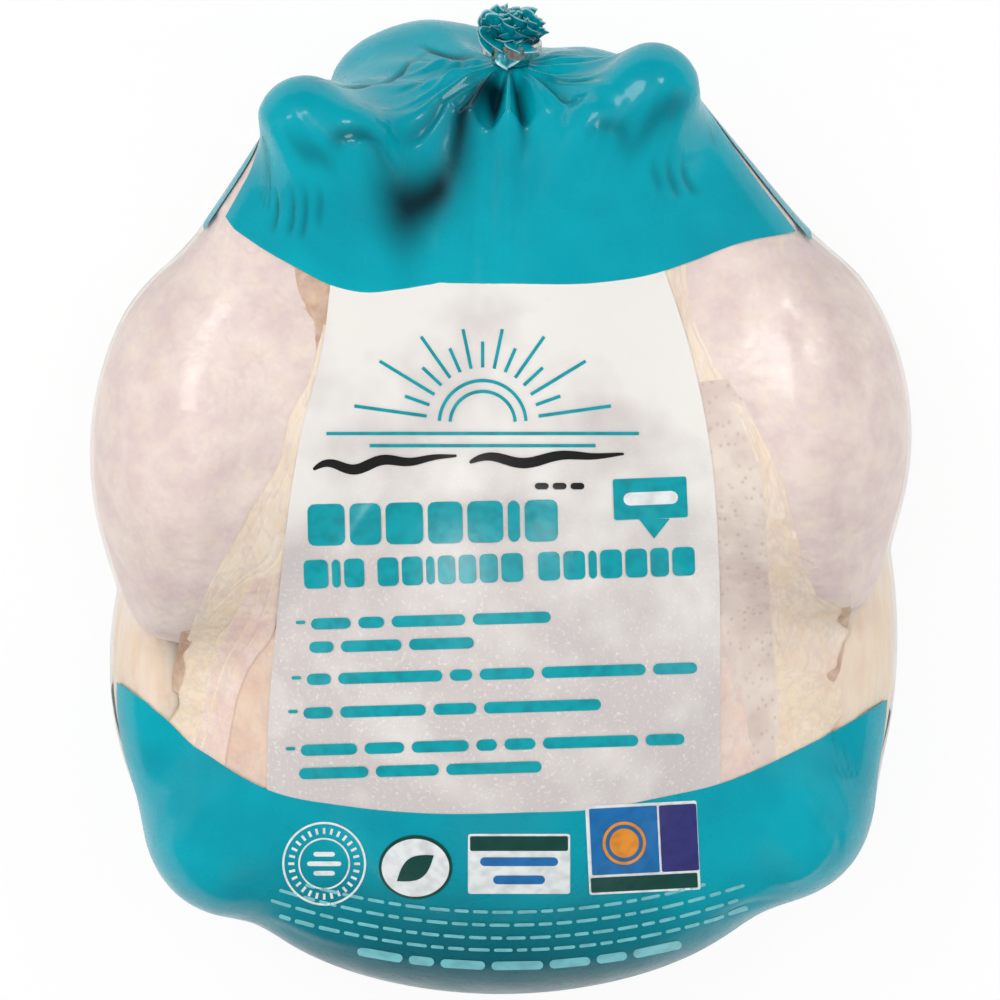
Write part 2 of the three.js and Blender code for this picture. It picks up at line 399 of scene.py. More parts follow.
@dataclass
class BagForm:
    """The film stretched over the bird, as a reach from the heart for each turn and fall.

    Turn runs round the pole, which points out through the clip: 0 is right, 90 is up out of the
    breast. Fall runs down from the pole to the neck end. Both are radians in the methods.
    """

    clip_foot: tuple[float, float, float] = (2.5, 105.5, 79)
    film_gap: float = 0.8
    crowding: float = 0.5
    turns: int = 200
    rows: int = 104
    suction: float = 0.6
    side_suction: float = 9.0
    gather_slope: float = 0.5
    gather_fall: float = 11.0
    rough_passes: int = 4000
    fine_passes: int = 2500
    fold_lines: list[tuple[Crease, np.ndarray, np.ndarray, np.ndarray, float]] = field(default_factory=list)

    def __post_init__(self) -> None:
        """Works out the axes and stretches the film, first roughly and then finely."""
        foot = np.array(self.clip_foot) - HEART
        self.pole_reach = float(np.linalg.norm(foot))
        self.pole = foot / self.pole_reach
        self.right = unit(VIEW_RIGHT - self.pole * self.pole[0])
        self.front = np.cross(self.right, self.pole)
        rough = self.stretched(self.turns // 2, self.rows // 2, None, self.rough_passes)
        self.inverse = self.stretched(self.turns, self.rows, rough, self.fine_passes)
        ends = np.array([(crease.start, crease.end) for crease in CREASES])
        ways = self.way(*self.seen(ends[..., 0], ends[..., 1]))
        for crease, (start, end) in zip(CREASES, ways):
            length = math.acos(float(np.clip(start @ end, -1, 1)))
            normal = unit(np.cross(start, end))
            self.fold_lines.append((crease, start, normal, np.cross(normal, start), length))

    def way(self, turn: np.ndarray, fall: np.ndarray) -> np.ndarray:
        """The direction out from the heart at a turn and fall."""
        turn, fall = np.broadcast_arrays(turn, fall)
        side = np.cos(turn)[..., None] * self.right + np.sin(turn)[..., None] * self.front
        return np.cos(fall)[..., None] * self.pole + np.sin(fall)[..., None] * side

    def fall_at(self, share: np.ndarray) -> np.ndarray:
        """The fall of a row at a share of the rows, crowded toward the clip."""
        return math.pi * ((1 - self.crowding) * share + self.crowding * share**2)

    def share_at(self, fall: np.ndarray) -> np.ndarray:
        """The share of the rows at a fall, which undoes fall_at."""
        c = self.crowding
        return (-(1 - c) + np.sqrt((1 - c) ** 2 + 4 * c * fall / math.pi)) / (2 * c)

    def stretched(self, turns: int, rows: int, rough: np.ndarray | None, passes: int) -> np.ndarray:
        """One over the film's reach on a grid of rows and columns.

        Each pass moves every point to where its four neighbours pull it, which solves the
        Laplacian of u plus 2u = -suction u for u = 1 / reach, but never in through the skin.

        Args:
            turns: columns round the pole.
            rows: rows from the clip to the neck end.
            rough: a coarser solution to start from, or None.
            passes: how many passes to make.

        Returns:
            The grid of u, with rows + 1 rows.
        """
        share = np.linspace(0, 1, rows + 1)[:, None]
        fall = self.fall_at(share)
        turn = (np.arange(turns) * TAU / turns)[None]
        masses = [mass for part in MASSES.values() for mass in part]
        reach = skin_reach(masses, HEART, self.way(turn, fall)) + self.film_gap
        gather = self.pole_reach / (np.cos(fall) + self.gather_slope * np.sin(fall))
        reach = np.maximum(reach, np.where(np.degrees(fall) <= self.gather_fall, gather, 0))
        skin = 1 / reach
        if rough is None:
            u = skin.copy()
        else:
            old_rows = share * (rough.shape[0] - 1) + 0 * turn
            old_columns = turn / TAU * rough.shape[1] + 0 * share
            u = np.minimum(sample(rough, old_rows, old_columns), skin)
        pace = math.pi * ((1 - self.crowding) + 2 * self.crowding * share)[1:-1]
        growth = TAU * self.crowding
        inner = fall[1:-1]
        along = (rows / pace) ** 2
        around = (turns / TAU / np.sin(inner)) ** 2
        bias = (1 / np.tan(inner) / pace - growth / pace**3) * rows / 2
        pull_in = self.suction_at(turn, inner)
        weight = 2 * along + 2 * around - 2 - pull_in
        for _ in range(passes):
            sides = (np.roll(u, 1, 1) + np.roll(u, -1, 1))[1:-1]
            pull = along * (u[:-2] + u[2:]) + bias * (u[2:] - u[:-2]) + around * sides
            u[1:-1] = np.minimum(skin[1:-1], pull / weight)
        return u

    def suction_at(self, turn: np.ndarray, fall: np.ndarray) -> np.ndarray:
        """How hard the film is drawn in: most at the sides, between leg and wing."""
        sideways = smooth(0.5, 0.75, np.abs(np.cos(turn)))
        between = smooth(50, 70, np.degrees(fall)) * (1 - smooth(118, 130, np.degrees(fall)))
        return self.suction + self.side_suction * sideways * between

    def plain_reach(self, turn: np.ndarray, fall: np.ndarray) -> np.ndarray:
        """The film's reach without its folds, read smoothly from the grid."""
        rows = self.share_at(fall) * self.rows
        columns = turn / TAU * self.turns
        return 1 / sample(self.inverse, *np.broadcast_arrays(rows, columns))

    def fold_height(self, turn: np.ndarray, fall: np.ndarray) -> np.ndarray:
        """How far pleats lift the film and hollows and furrows sink it, in millimetres."""
        turned = np.degrees(turn)
        fallen = np.degrees(fall)
        lift = np.zeros(np.broadcast(turn, fall).shape)
        for pleat in PLEATS:
            ridge = bell(turn_gap(turned, pleat.turn), pleat.width)
            lift += pleat.height * ridge * bell(fallen, pleat.fade)
        for hollow in HOLLOWS:
            dip = bell(turn_gap(turned, hollow.turn), hollow.width)
            lift -= hollow.depth * dip * bell(fallen - hollow.fall, hollow.length)
        return lift * smooth(1.5, 7, fallen)

    def creased(self, turn: np.ndarray, fall: np.ndarray,
                reach: np.ndarray) -> tuple[np.ndarray, np.ndarray]:
        """How far creases lift or sink the film in millimetres, and the painted shade that darkens the
        print in them.

        Each is a bell across its line. Along the line its height follows s^a (1 - s)^b scaled to
        1 at its peak, where s is the share of the length and a / (a + b) the peak; its painted shade
        rises and falls smoothly near both ends.

        Args:
            turn: turns of the places.
            fall: their falls.
            reach: the film's reach there without creases.

        Returns:
            Height and painted shade at each place.
        """
        bell_end = 2.6
        steepness = 3
        ways = self.way(turn, fall)
        lift = np.zeros(ways.shape[:-1])
        ink = np.zeros(ways.shape[:-1])
        for crease, start, normal, onward, length in self.fold_lines:
            across = ways @ normal * reach / crease.width
            near = np.abs(across) < bell_end
            share = np.arctan2(ways[near] @ onward, ways[near] @ start) / length
            share = np.clip(share, 0, 1)
            rise = steepness * crease.peak
            fade = steepness * (1 - crease.peak)
            top = crease.peak**rise * (1 - crease.peak) ** fade
            side = bell(across[near], 1)
            lift[near] += crease.height * side * share**rise * (1 - share) ** fade / top
            # painted shade: the print is darkened along the crease by its ink
            ink[near] += crease.ink * side * smooth(0, 0.35, share) * smooth(1, 0.6, share)
        return lift, ink

    def pleated_reach(self, turn: np.ndarray, fall: np.ndarray) -> np.ndarray:
        """The film's reach with its pleats and without its creases, in millimetres."""
        return self.plain_reach(turn, fall) + self.fold_height(turn, fall)

    def reach(self, turn: np.ndarray, fall: np.ndarray) -> np.ndarray:
        """The film's reach with all its folds, in millimetres."""
        pleated = self.pleated_reach(turn, fall)
        return pleated + self.creased(turn, fall, pleated)[0]

    def film(self, turn: np.ndarray, fall: np.ndarray, lift: float | np.ndarray = 0.0) -> np.ndarray:
        """Places on the film, moved out by lift and kept above the table."""
        places = HEART + self.way(turn, fall) * (self.reach(turn, fall) + lift)[..., None]
        places[..., 2] = np.maximum(places[..., 2], 0)
        return places

    def angles(self, places: np.ndarray) -> tuple[np.ndarray, np.ndarray, np.ndarray]:
        """Turn, fall and distance from the heart of places in millimetres."""
        offset = places - HEART
        distance = np.linalg.norm(offset, axis=-1)
        ways = offset / distance[..., None]
        fall = np.arccos(np.clip(ways @ self.pole, -1, 1))
        turn = np.arctan2(ways @ self.front, ways @ self.right)
        return turn, fall, distance

    def seen(self, u: np.ndarray, v: np.ndarray) -> tuple[np.ndarray, np.ndarray]:
        """The turn and fall of the film that the camera sees at a place in its view.

        The ray from the camera is walked inward until it passes through the film, without its
        creases, and the crossing is then halved down.

        Args:
            u: millimetres to the right of the view's middle.
            v: millimetres above it.

        Returns:
            Turn and fall in radians.
        """
        u, v = np.broadcast_arrays(np.asarray(u, float), np.asarray(v, float))
        headroom = 62
        pace = 3.5
        steps = 32
        halvings = 9
        eye = HEART + CAMERA_DISTANCE * TO_CAMERA
        target = HEART + u[..., None] * VIEW_RIGHT + v[..., None] * VIEW_UP
        span = np.linalg.norm(target - eye, axis=-1)
        ray = (target - eye) / span[..., None]
        outside = span - headroom
        inside = outside.copy()
        found = np.zeros(u.shape, bool)
        for step in range(1, steps + 1):
            depth = span - headroom + pace * step
            turn, fall, distance = self.angles(eye + depth[..., None] * ray)
            crossed = (distance < self.pleated_reach(turn, fall)) & ~found
            inside = np.where(crossed, depth, inside)
            outside = np.where(found | crossed, outside, depth)
            found |= crossed
        inside = np.where(found, inside, span)
        for _ in range(halvings):
            middle = (inside + outside) / 2
            turn, fall, distance = self.angles(eye + middle[..., None] * ray)
            within = distance < self.pleated_reach(turn, fall)
            inside = np.where(within, middle, inside)
            outside = np.where(within, outside, middle)
        turn, fall, _ = self.angles(eye + inside[..., None] * ray)
        return turn, fall


def cubic_weights(share: np.ndarray) -> list[np.ndarray]:
    """The four weights of a smooth curve through evenly spaced values, at a share between two."""
    s, s2, s3 = share, share**2, share**3
    return [
        (-s + 2 * s2 - s3) / 2,
        (2 - 5 * s2 + 3 * s3) / 2,
        (s + 4 * s2 - 3 * s3) / 2,
        (s3 - s2) / 2,
    ]


def sample(grid: np.ndarray, rows: np.ndarray, columns: np.ndarray) -> np.ndarray:
    """Reads a grid smoothly between its values, its columns running round.

    Args:
        grid: the values, row by row.
        rows: row positions, not always whole.
        columns: column positions, which wrap round.

    Returns:
        The values read, in the shape of rows.
    """
    last, count = grid.shape[0] - 1, grid.shape[1]
    row = np.clip(np.floor(rows).astype(int), 0, last - 1)
    column = np.floor(columns).astype(int)
    down = cubic_weights(np.clip(rows - row, 0, 1))
    over = cubic_weights(columns - column)
    total = np.zeros(rows.shape)
    for i, weight in enumerate(down):
        line = np.clip(row + i - 1, 0, last)
        for j, other in enumerate(over):
            total += weight * other * grid[line, (column + j - 1) % count]
    return total


def path(points: list[tuple[float, float]], count: int) -> np.ndarray:
    """A smooth path through points, cut evenly by its length.

    Args:
        points: places in a plane.
        count: how many places the path has.

    Returns:
        The places, one to a row.
    """
    corners = np.array(points, float)
    run = np.concatenate([[0], np.cumsum(np.linalg.norm(np.diff(corners, axis=0), axis=1))])
    spots = np.linspace(0, run[-1], count)
    return np.stack([through(list(zip(run, corners[:, k])), spots) for k in range(2)], -1)


def through(knots: list[tuple[float, float]], where: np.ndarray) -> np.ndarray:
    """A smooth curve through knots of (place, value), read at other places.

    Each stretch is a cubic whose slopes at the knots are those of the neighbouring knots.

    Args:
        knots: places in rising order, each with its value.
        where: the places to read.

    Returns:
        The values there, held level past both ends.
    """
    place = np.array([knot[0] for knot in knots], float)
    value = np.array([knot[1] for knot in knots], float)
    slope = np.gradient(value, place)
    spot = np.clip(where, place[0], place[-1])
    k = np.clip(np.searchsorted(place, spot) - 1, 0, len(place) - 2)
    gap = place[k + 1] - place[k]
    t = (spot - place[k]) / gap
    rise = value[k] * (2 * t**3 - 3 * t**2 + 1) + value[k + 1] * (3 * t**2 - 2 * t**3)
    return rise + gap * (slope[k] * (t**3 - 2 * t**2 + t) + slope[k + 1] * (t**3 - t**2))


# Meshes


def grid_faces(rows: int, columns: int, closed: bool) -> np.ndarray:
    """Quads of a grid of points, rows outermost, joined round its columns if closed."""
    row, column = np.meshgrid(np.arange(rows - 1), np.arange(columns - (not closed)), indexing="ij")
    after = (column + 1) % columns
    here = row * columns
    corners = [here + column, here + after, here + columns + after, here + columns + column]
    return np.stack(corners, -1).reshape(-1, 4)


@dataclass
class Surface:
    """Points and quads of a mesh to come, in millimetres, with a place in its pattern.

    Tone is a value for each point that a finish can read; the printed bands keep their painted shade in it.
    """

    points: np.ndarray
    faces: np.ndarray
    pattern: np.ndarray
    tone: np.ndarray | None = None

    @classmethod
    def from_grid(cls, points: np.ndarray, closed: bool = False, flip: bool = False,
                  tone: np.ndarray | None = None) -> "Surface":
        """A surface over a grid of points, patterned by its share across and down.

        Args:
            points: rows, columns and coordinates.
            closed: whether the last column joins the first.
            flip: whether to turn the faces over.
            tone: a value for each point, or None.

        Returns:
            The surface.
        """
        rows, columns = points.shape[:2]
        faces = grid_faces(rows, columns, closed)
        down, across = np.meshgrid(np.linspace(0, 1, rows), np.linspace(0, 1, columns), indexing="ij")
        pattern = np.stack([across, down], -1).reshape(-1, 2)
        if flip:
            faces = faces[:, ::-1]
        return cls(points.reshape(-1, 3), faces, pattern, tone)

    @classmethod
    def joined(cls, surfaces: list["Surface"]) -> "Surface":
        """Several surfaces without tones as one."""
        starts = np.cumsum([0] + [len(s.points) for s in surfaces[:-1]])
        return cls(
            np.concatenate([s.points for s in surfaces]),
            np.concatenate([s.faces + start for s, start in zip(surfaces, starts)]),
            np.concatenate([s.pattern for s in surfaces]),
        )

    def to_object(self, name: str, material: bpy.types.Material) -> bpy.types.Object:
        """Makes the mesh object, smooth, in metres, dressed, and riding on the body.

        Args:
            name: the piece's name.
            material: its finish.

        Returns:
            The new object.
        """
        mesh = bpy.data.meshes.new(name)
        mesh.vertices.add(len(self.points))
        mesh.vertices.foreach_set("co", (self.points * MM).astype(np.float32).ravel())
        mesh.loops.add(self.faces.size)
        mesh.loops.foreach_set("vertex_index", self.faces.astype(np.int32).ravel())
        mesh.polygons.add(len(self.faces))
        mesh.polygons.foreach_set("loop_start", np.arange(0, self.faces.size, 4, dtype=np.int32))
        mesh.polygons.foreach_set("use_smooth", np.ones(len(self.faces), bool))
        mesh.update(calc_edges=True)
        layer = mesh.uv_layers.new(name="pattern")
        layer.data.foreach_set("uv", self.pattern[self.faces.ravel()].astype(np.float32).ravel())
        if self.tone is not None:
            tones = mesh.attributes.new("tone", "FLOAT", "POINT")
            tones.data.foreach_set("value", self.tone.astype(np.float32).ravel())
        mesh.validate()
        mesh.materials.append(material)
        piece = bpy.data.objects.new(name, mesh)
        bpy.context.scene.collection.objects.link(piece)
        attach(piece, BODY)
        log.info("%s: %d faces", name, len(self.faces))
        return piece


# Finishes


def spaced(inputs: dict[str, object]) -> dict[str, object]:
    """Inputs by name, with spaces in the names in place of underscores."""
    return {key.replace("_", " "): value for key, value in inputs.items()}


def linear(srgb: tuple[float, float, float]) -> tuple[float, float, float, float]:
    """A colour given as 0 to 255 screen values, in the linear values that shaders take."""
    shares = np.array(srgb) / 255
    low = shares / 12.92
    high = ((shares + 0.055) / 1.055) ** 2.4
    red, green, blue = np.where(shares <= 0.04045, low, high)
    return (float(red), float(green), float(blue), 1.0)


class Nodes:
    """A node tree being filled, with short calls to add and join nodes."""

    def __init__(self, tree: bpy.types.NodeTree) -> None:
        """Works on that tree."""
        self.tree = tree

    def feed(self, socket: bpy.types.NodeSocket, value: object) -> None:
        """Joins another socket to this one, or sets its value."""
        if isinstance(value, bpy.types.NodeSocket):
            self.tree.links.new(value, socket)
        else:
            socket.default_value = value

    def add(self, kind: str, inputs: dict | None = None, **settings: object) -> bpy.types.Node:
        """Adds a node.

        Args:
            kind: the node's type, without the word ShaderNode.
            inputs: socket values or the sockets to join to, by socket name or number.
            settings: the node's own properties.

        Returns:
            The node.
        """
        node = self.tree.nodes.new("ShaderNode" + kind)
        for key, value in settings.items():
            setattr(node, key, value)
        for key, value in (inputs or {}).items():
            self.feed(node.inputs[key], value)
        return node

    def effect(self, group: bpy.types.NodeTree, **inputs: object) -> bpy.types.Node:
        """Adds a shared effect, its inputs named with underscores for spaces."""
        return self.add("Group", spaced(inputs), node_tree=group)

    def position(self) -> bpy.types.NodeSocket:
        """Object coordinates in metres."""
        return self.add("TexCoord").outputs["Object"]

    def maths(self, operation: str, first: object, second: object = 0.0) -> bpy.types.NodeSocket:
        """One step of arithmetic on two values."""
        return self.add("Math", {0: first, 1: second}, operation=operation).outputs[0]

    def noise(self, scale: object, detail: float = 3.0, rough: float = 0.5,
              vector: bpy.types.NodeSocket | None = None) -> bpy.types.NodeSocket:
        """Soft noise between 0 and 1 with scale blobs to the metre."""
        inputs = {
            "Vector": vector or self.position(),
            "Scale": scale,
            "Detail": detail,
            "Roughness": rough,
        }
        return self.add("TexNoise", inputs).outputs["Fac"]

    def mixed(self, share: object, first: object, second: object) -> bpy.types.NodeSocket:
        """The mix of two colours by a share between 0 and 1."""
        return self.add("Mix", {0: share, 6: first, 7: second}, data_type="RGBA").outputs[2]

    def cells(self, scale: float) -> bpy.types.NodeSocket:
        """Distance from the middles of scattered cells, scale of them to the metre."""
        return self.add("TexVoronoi", {"Vector": self.position(), "Scale": scale}).outputs["Distance"]

    def ranged(self, value: bpy.types.NodeSocket, low: float, high: float, to_low: object = 0.0,
               to_high: object = 1.0) -> bpy.types.NodeSocket:
        """A value between low and high carried onto another range, held at both ends."""
        inputs = {"Value": value, "From Min": low, "From Max": high, "To Min": to_low, "To Max": to_high}
        return self.add("MapRange", inputs).outputs["Result"]

    def bump(self, height: bpy.types.NodeSocket, depth: object) -> bpy.types.NodeSocket:
        """A normal that a height between 0 and 1 tilts, depth metres deep."""
        return self.add("Bump", {"Height": height, "Distance": depth}).outputs["Normal"]


class Finish(Nodes):
    """A material being made."""

    def __init__(self, name: str) -> None:
        """Starts an empty material of that name."""
        self.material = bpy.data.materials.new(name)
        self.material.use_nodes = True
        super().__init__(self.material.node_tree)
        self.tree.nodes.clear()
        self.output = self.tree.nodes.new("ShaderNodeOutputMaterial")

    def done(self, shader: bpy.types.Node) -> bpy.types.Material:
        """Joins the last shader to the output and returns the material."""
        self.tree.links.new(shader.outputs[0], self.output.inputs["Surface"])
        return self.material

    def coated(self, colour: object, rough: object, normal: object,
               **more: object) -> bpy.types.Material:
        """Ends the material with one principled shader.

        Args:
            colour: its base colour, or the socket that gives it.
            rough: its roughness, likewise.
            normal: the socket that gives its bumps.
            more: other inputs, named with underscores for spaces.

        Returns:
            The material.
        """
        inputs = {"Base Color": colour, "Roughness": rough, "Normal": normal} | spaced(more)
        return self.done(self.add("BsdfPrincipled", inputs))


class Effect(Nodes):
    """A node group that several finishes share. It gives colours, values or normals."""

    def __init__(self, name: str, inputs: dict[str, object], outputs: dict[str, str]) -> None:
        """Starts a group.

        Args:
            name: the group's name.
            inputs: first values of its inputs: a number, or a colour of four.
            outputs: the kinds of its outputs: Float, Color or Vector.
        """
        tree = bpy.data.node_groups.new(name, "ShaderNodeTree")
        super().__init__(tree)
        for label, value in inputs.items():
            kind = "Color" if isinstance(value, tuple) else "Float"
            socket = tree.interface.new_socket(label, in_out="INPUT", socket_type="NodeSocket" + kind)
            socket.default_value = value
        for label, kind in outputs.items():
            tree.interface.new_socket(label, in_out="OUTPUT", socket_type="NodeSocket" + kind)
        self.given = tree.nodes.new("NodeGroupInput").outputs
        self.results = tree.nodes.new("NodeGroupOutput").inputs

    def give(self, label: str, socket: bpy.types.NodeSocket) -> None:
        """Joins a socket to one of the group's outputs."""
        self.tree.links.new(socket, self.results[label])

    def per_metre(self, label: str) -> bpy.types.NodeSocket:
        """How many of an input given in millimetres go into a metre."""
        return self.maths("DIVIDE", 1 / MM, self.given[label])


@cache
def film_wrinkles() -> bpy.types.NodeTree:
    """Soft dents of shrunk film, Pitch and Depth in millimetres."""
    inputs = {"Pitch": 7.0, "Depth": 0.3}
    group = Effect("film_wrinkles", inputs, {"Normal": "Vector", "Haze": "Float"})
    scale = group.per_metre("Pitch")
    fine = group.noise(group.maths("MULTIPLY", scale, 4.5), 1)
    dents = group.maths("ADD", group.noise(scale, 2, 0.55), group.maths("MULTIPLY", fine, 0.22))
    group.give("Normal", group.bump(dents, group.maths("MULTIPLY", group.given["Depth"], MM)))
    group.give("Haze", group.ranged(dents, 0.45, 0.75))
    return group.tree


@cache
def mottling() -> bpy.types.NodeTree:
    """Blotches of three tones with lines of vein between them, Pitch in millimetres."""
    white = (1.0, 1.0, 1.0, 1.0)
    inputs = {
        "Light": white, "Deep": white, "Fat": white, "Vein": white, "Fat Share": 0.3,
        "Vein Share": 0.3, "Pitch": 16.0, "Stretch": 1.0,
    }
    group = Effect("mottling", inputs, {"Color": "Color", "Patch": "Float"})
    stretch = group.add("CombineXYZ", {0: 1.0, 1: group.given["Stretch"], 2: 1.0}).outputs[0]
    place = group.add("VectorMath", {0: group.position(), 1: stretch}, operation="MULTIPLY").outputs[0]
    scale = group.per_metre("Pitch")
    blotch = group.noise(scale, 3, 0.62, place)
    fat = group.noise(group.maths("MULTIPLY", scale, 2.1), 2, 0.6, place)
    vein = group.noise(group.maths("MULTIPLY", scale, 1.3), 3, 0.7, place)
    colour = group.mixed(group.ranged(blotch, 0.38, 0.64), group.given["Light"], group.given["Deep"])
    fatty = group.ranged(fat, 0.5, 0.66, 0.0, group.given["Fat Share"])
    colour = group.mixed(fatty, colour, group.given["Fat"])
    away = group.maths("ABSOLUTE", group.maths("SUBTRACT", vein, 0.5))
    lines = group.ranged(away, 0.0, 0.06, group.given["Vein Share"], 0.0)
    group.give("Color", group.mixed(lines, colour, group.given["Vein"]))
    group.give("Patch", blotch)
    return group.tree


@cache
def rims() -> bpy.types.NodeTree:
    """How near a place is to the two sides or the end of its pattern: 1 there, 0 past Width."""
    group = Effect("rims", {"Width": 0.05}, {"Sides": "Float", "End": "Float"})
    pattern = group.add("SeparateXYZ", {0: group.add("UVMap", uv_map="pattern").outputs[0]}).outputs
    other = group.maths("SUBTRACT", 1.0, pattern[0])
    side = group.maths("MINIMUM", pattern[0], other)
    group.give("Sides", group.ranged(side, 0.0, group.given["Width"], 1.0, 0.0))
    end = group.maths("SUBTRACT", 1.0, pattern[1])
    group.give("End", group.ranged(end, 0.0, group.given["Width"], 1.0, 0.0))
    return group.tree


@dataclass(frozen=True)
class ClearFilm:
    """Clear shrink film: almost nothing but its gloss, with fine tight wrinkles."""

    tint: tuple[float, float, float] = (252, 250, 248)
    roughness: float = 0.2
    wrinkle_pitch: float = 10.0
    wrinkle_depth: float = 0.55

    def make(self) -> bpy.types.Material:
        """Returns the material: gloss by Fresnel over a see-through layer."""
        nodes = Finish("clear_film")
        wrinkles = nodes.effect(film_wrinkles(), Pitch=self.wrinkle_pitch, Depth=self.wrinkle_depth)
        normal = wrinkles.outputs["Normal"]
        gloss = nodes.add("BsdfPrincipled", {
            "Base Color": linear((255, 255, 255)),
            "Roughness": self.roughness,
            "Specular IOR Level": 1.0,
            "Metallic": 1.0,
            "Normal": normal,
        }).outputs[0]
        through_film = nodes.add("BsdfTransparent", {"Color": linear(self.tint)}).outputs[0]
        fresnel = nodes.add("Fresnel", {"IOR": 1.42, "Normal": normal}).outputs[0]
        share = nodes.ranged(fresnel, 0.0, 1.0, 0.012, 0.4)
        return nodes.done(nodes.add("MixShader", {0: share, 1: through_film, 2: gloss}))


@dataclass(frozen=True)
class PrintedFilm:
    """Film with solid ink behind it: even colour with painted shade where its tone is set, deep gloss and
    wrinkles.
    """

    name: str
    ink: tuple[float, float, float]
    deep_ink: tuple[float, float, float]
    # the colour of the painted shade in creases and toward the neck end
    painted_shade_ink: tuple[float, float, float] = (0, 40, 50)
    roughness: float = 0.28
    wrinkle_pitch: float = 8.0
    wrinkle_depth: float = 0.3

    def make(self) -> bpy.types.Material:
        """Returns the material."""
        nodes = Finish(self.name)
        cloud = nodes.ranged(nodes.noise(40, 2, 0.6), 0.35, 0.7)
        colour = nodes.mixed(cloud, linear(self.ink), linear(self.deep_ink))
        # painted shade: the tone attribute darkens the ink in the creases and toward the neck end
        gathered = nodes.add("Attribute", attribute_name="tone").outputs["Fac"]
        colour = nodes.mixed(gathered, colour, linear(self.painted_shade_ink))
        wrinkles = nodes.effect(film_wrinkles(), Pitch=self.wrinkle_pitch, Depth=self.wrinkle_depth)
        haze = wrinkles.outputs["Haze"]
        rough = nodes.ranged(haze, 0.0, 1.0, self.roughness - 0.05, self.roughness + 0.06)
        return nodes.coated(colour, rough, wrinkles.outputs["Normal"], IOR=1.4, Specular_IOR_Level=0.2,
                            Coat_Weight=0.3, Coat_Roughness=0.07)


@dataclass(frozen=True)
class RuffledFilm:
    """The tuft's film: teal, with pale cut rims and bare film toward them."""

    ink: tuple[float, float, float] = (0, 158, 172)
    deep_ink: tuple[float, float, float] = (0, 132, 148)
    rim: tuple[float, float, float] = (176, 220, 224)

    def make(self) -> bpy.types.Material:
        """Returns the material."""
        nodes = Finish("ruffled_film")
        cloud = nodes.ranged(nodes.noise(700, 2, 0.6), 0.35, 0.65)
        colour = nodes.mixed(cloud, linear(self.ink), linear(self.deep_ink))
        end = nodes.effect(rims(), Width=0.09).outputs["End"]
        colour = nodes.mixed(nodes.ranged(end, 0.1, 0.6), colour, linear(self.rim))
        normal = nodes.effect(film_wrinkles(), Pitch=1.6, Depth=0.12).outputs["Normal"]
        return nodes.coated(colour, 0.2, normal, IOR=1.5)


@dataclass(frozen=True)
class PanelFilm:
    """The pale panel: white ink with the skin's warmth showing through it in clouds; the panel is also
    darker and warmer toward its lower end.
    """

    pale: tuple[float, float, float] = (237, 233, 228)
    warm: tuple[float, float, float] = (207, 199, 197)
    speck: tuple[float, float, float] = (246, 242, 238)

    def make(self) -> bpy.types.Material:
        """Returns the material."""
        nodes = Finish("panel_film")
        height = nodes.add("SeparateXYZ", {0: nodes.position()}).outputs[1]
        # the panel grows darker and warmer toward its lower end
        lower = nodes.ranged(height, 40 * MM, -60 * MM, -0.13, 0.19)
        cloud = nodes.maths("ADD", nodes.noise(34, 3, 0.6), lower)
        base = nodes.mixed(nodes.ranged(cloud, 0.36, 0.64), linear(self.pale), linear(self.warm))
        specks = nodes.ranged(nodes.noise(1100, 2, 0.65), 0.56, 0.74, 0.0, 0.6)
        speckled = nodes.maths("MULTIPLY", specks, nodes.ranged(lower, -0.1, 0.1, 0.2, 1.0))
        colour = nodes.mixed(speckled, base, linear(self.speck))
        normal = nodes.effect(film_wrinkles(), Pitch=10.0, Depth=0.25).outputs["Normal"]
        return nodes.coated(colour, 0.36, normal, IOR=1.46)


@dataclass(frozen=True)
class RawSkin:
    """Raw poultry skin: mottled tones and veins, pores, and painted shade at its rims."""

    name: str
    light: tuple[float, float, float]
    deep: tuple[float, float, float]
    fat: tuple[float, float, float] = (251, 230, 204)
    vein: tuple[float, float, float] = (214, 196, 208)
    # the colour of the painted shade at the rims of patches, where they meet the creases between parts
    shade: tuple[float, float, float] = (176, 132, 100)
    fat_share: float = 0.3
    vein_share: float = 0.25
    pitch: float = 16.0
    stretch: float = 1.0
    rim_shade_share: float = 0.0

    def make(self) -> bpy.types.Material:
        """Returns the material."""
        nodes = Finish(self.name)
        mottled = nodes.effect(
            mottling(), Light=linear(self.light), Deep=linear(self.deep), Fat=linear(self.fat),
            Vein=linear(self.vein), Fat_Share=self.fat_share, Vein_Share=self.vein_share,
            Pitch=self.pitch, Stretch=self.stretch,
        )
        # painted shade: the sides of each patch darken toward the shade colour
        side = nodes.effect(rims(), Width=0.05).outputs["Sides"]
        shaded = nodes.maths("MULTIPLY", side, self.rim_shade_share)
        colour = nodes.mixed(shaded, mottled.outputs["Color"], linear(self.shade))
        pores = nodes.maths("MULTIPLY", nodes.cells(520.0), 0.2)
        lumps = nodes.maths("ADD", mottled.outputs["Patch"], pores)
        return nodes.coated(colour, 0.42, nodes.bump(lumps, 0.9 * MM), IOR=1.42)


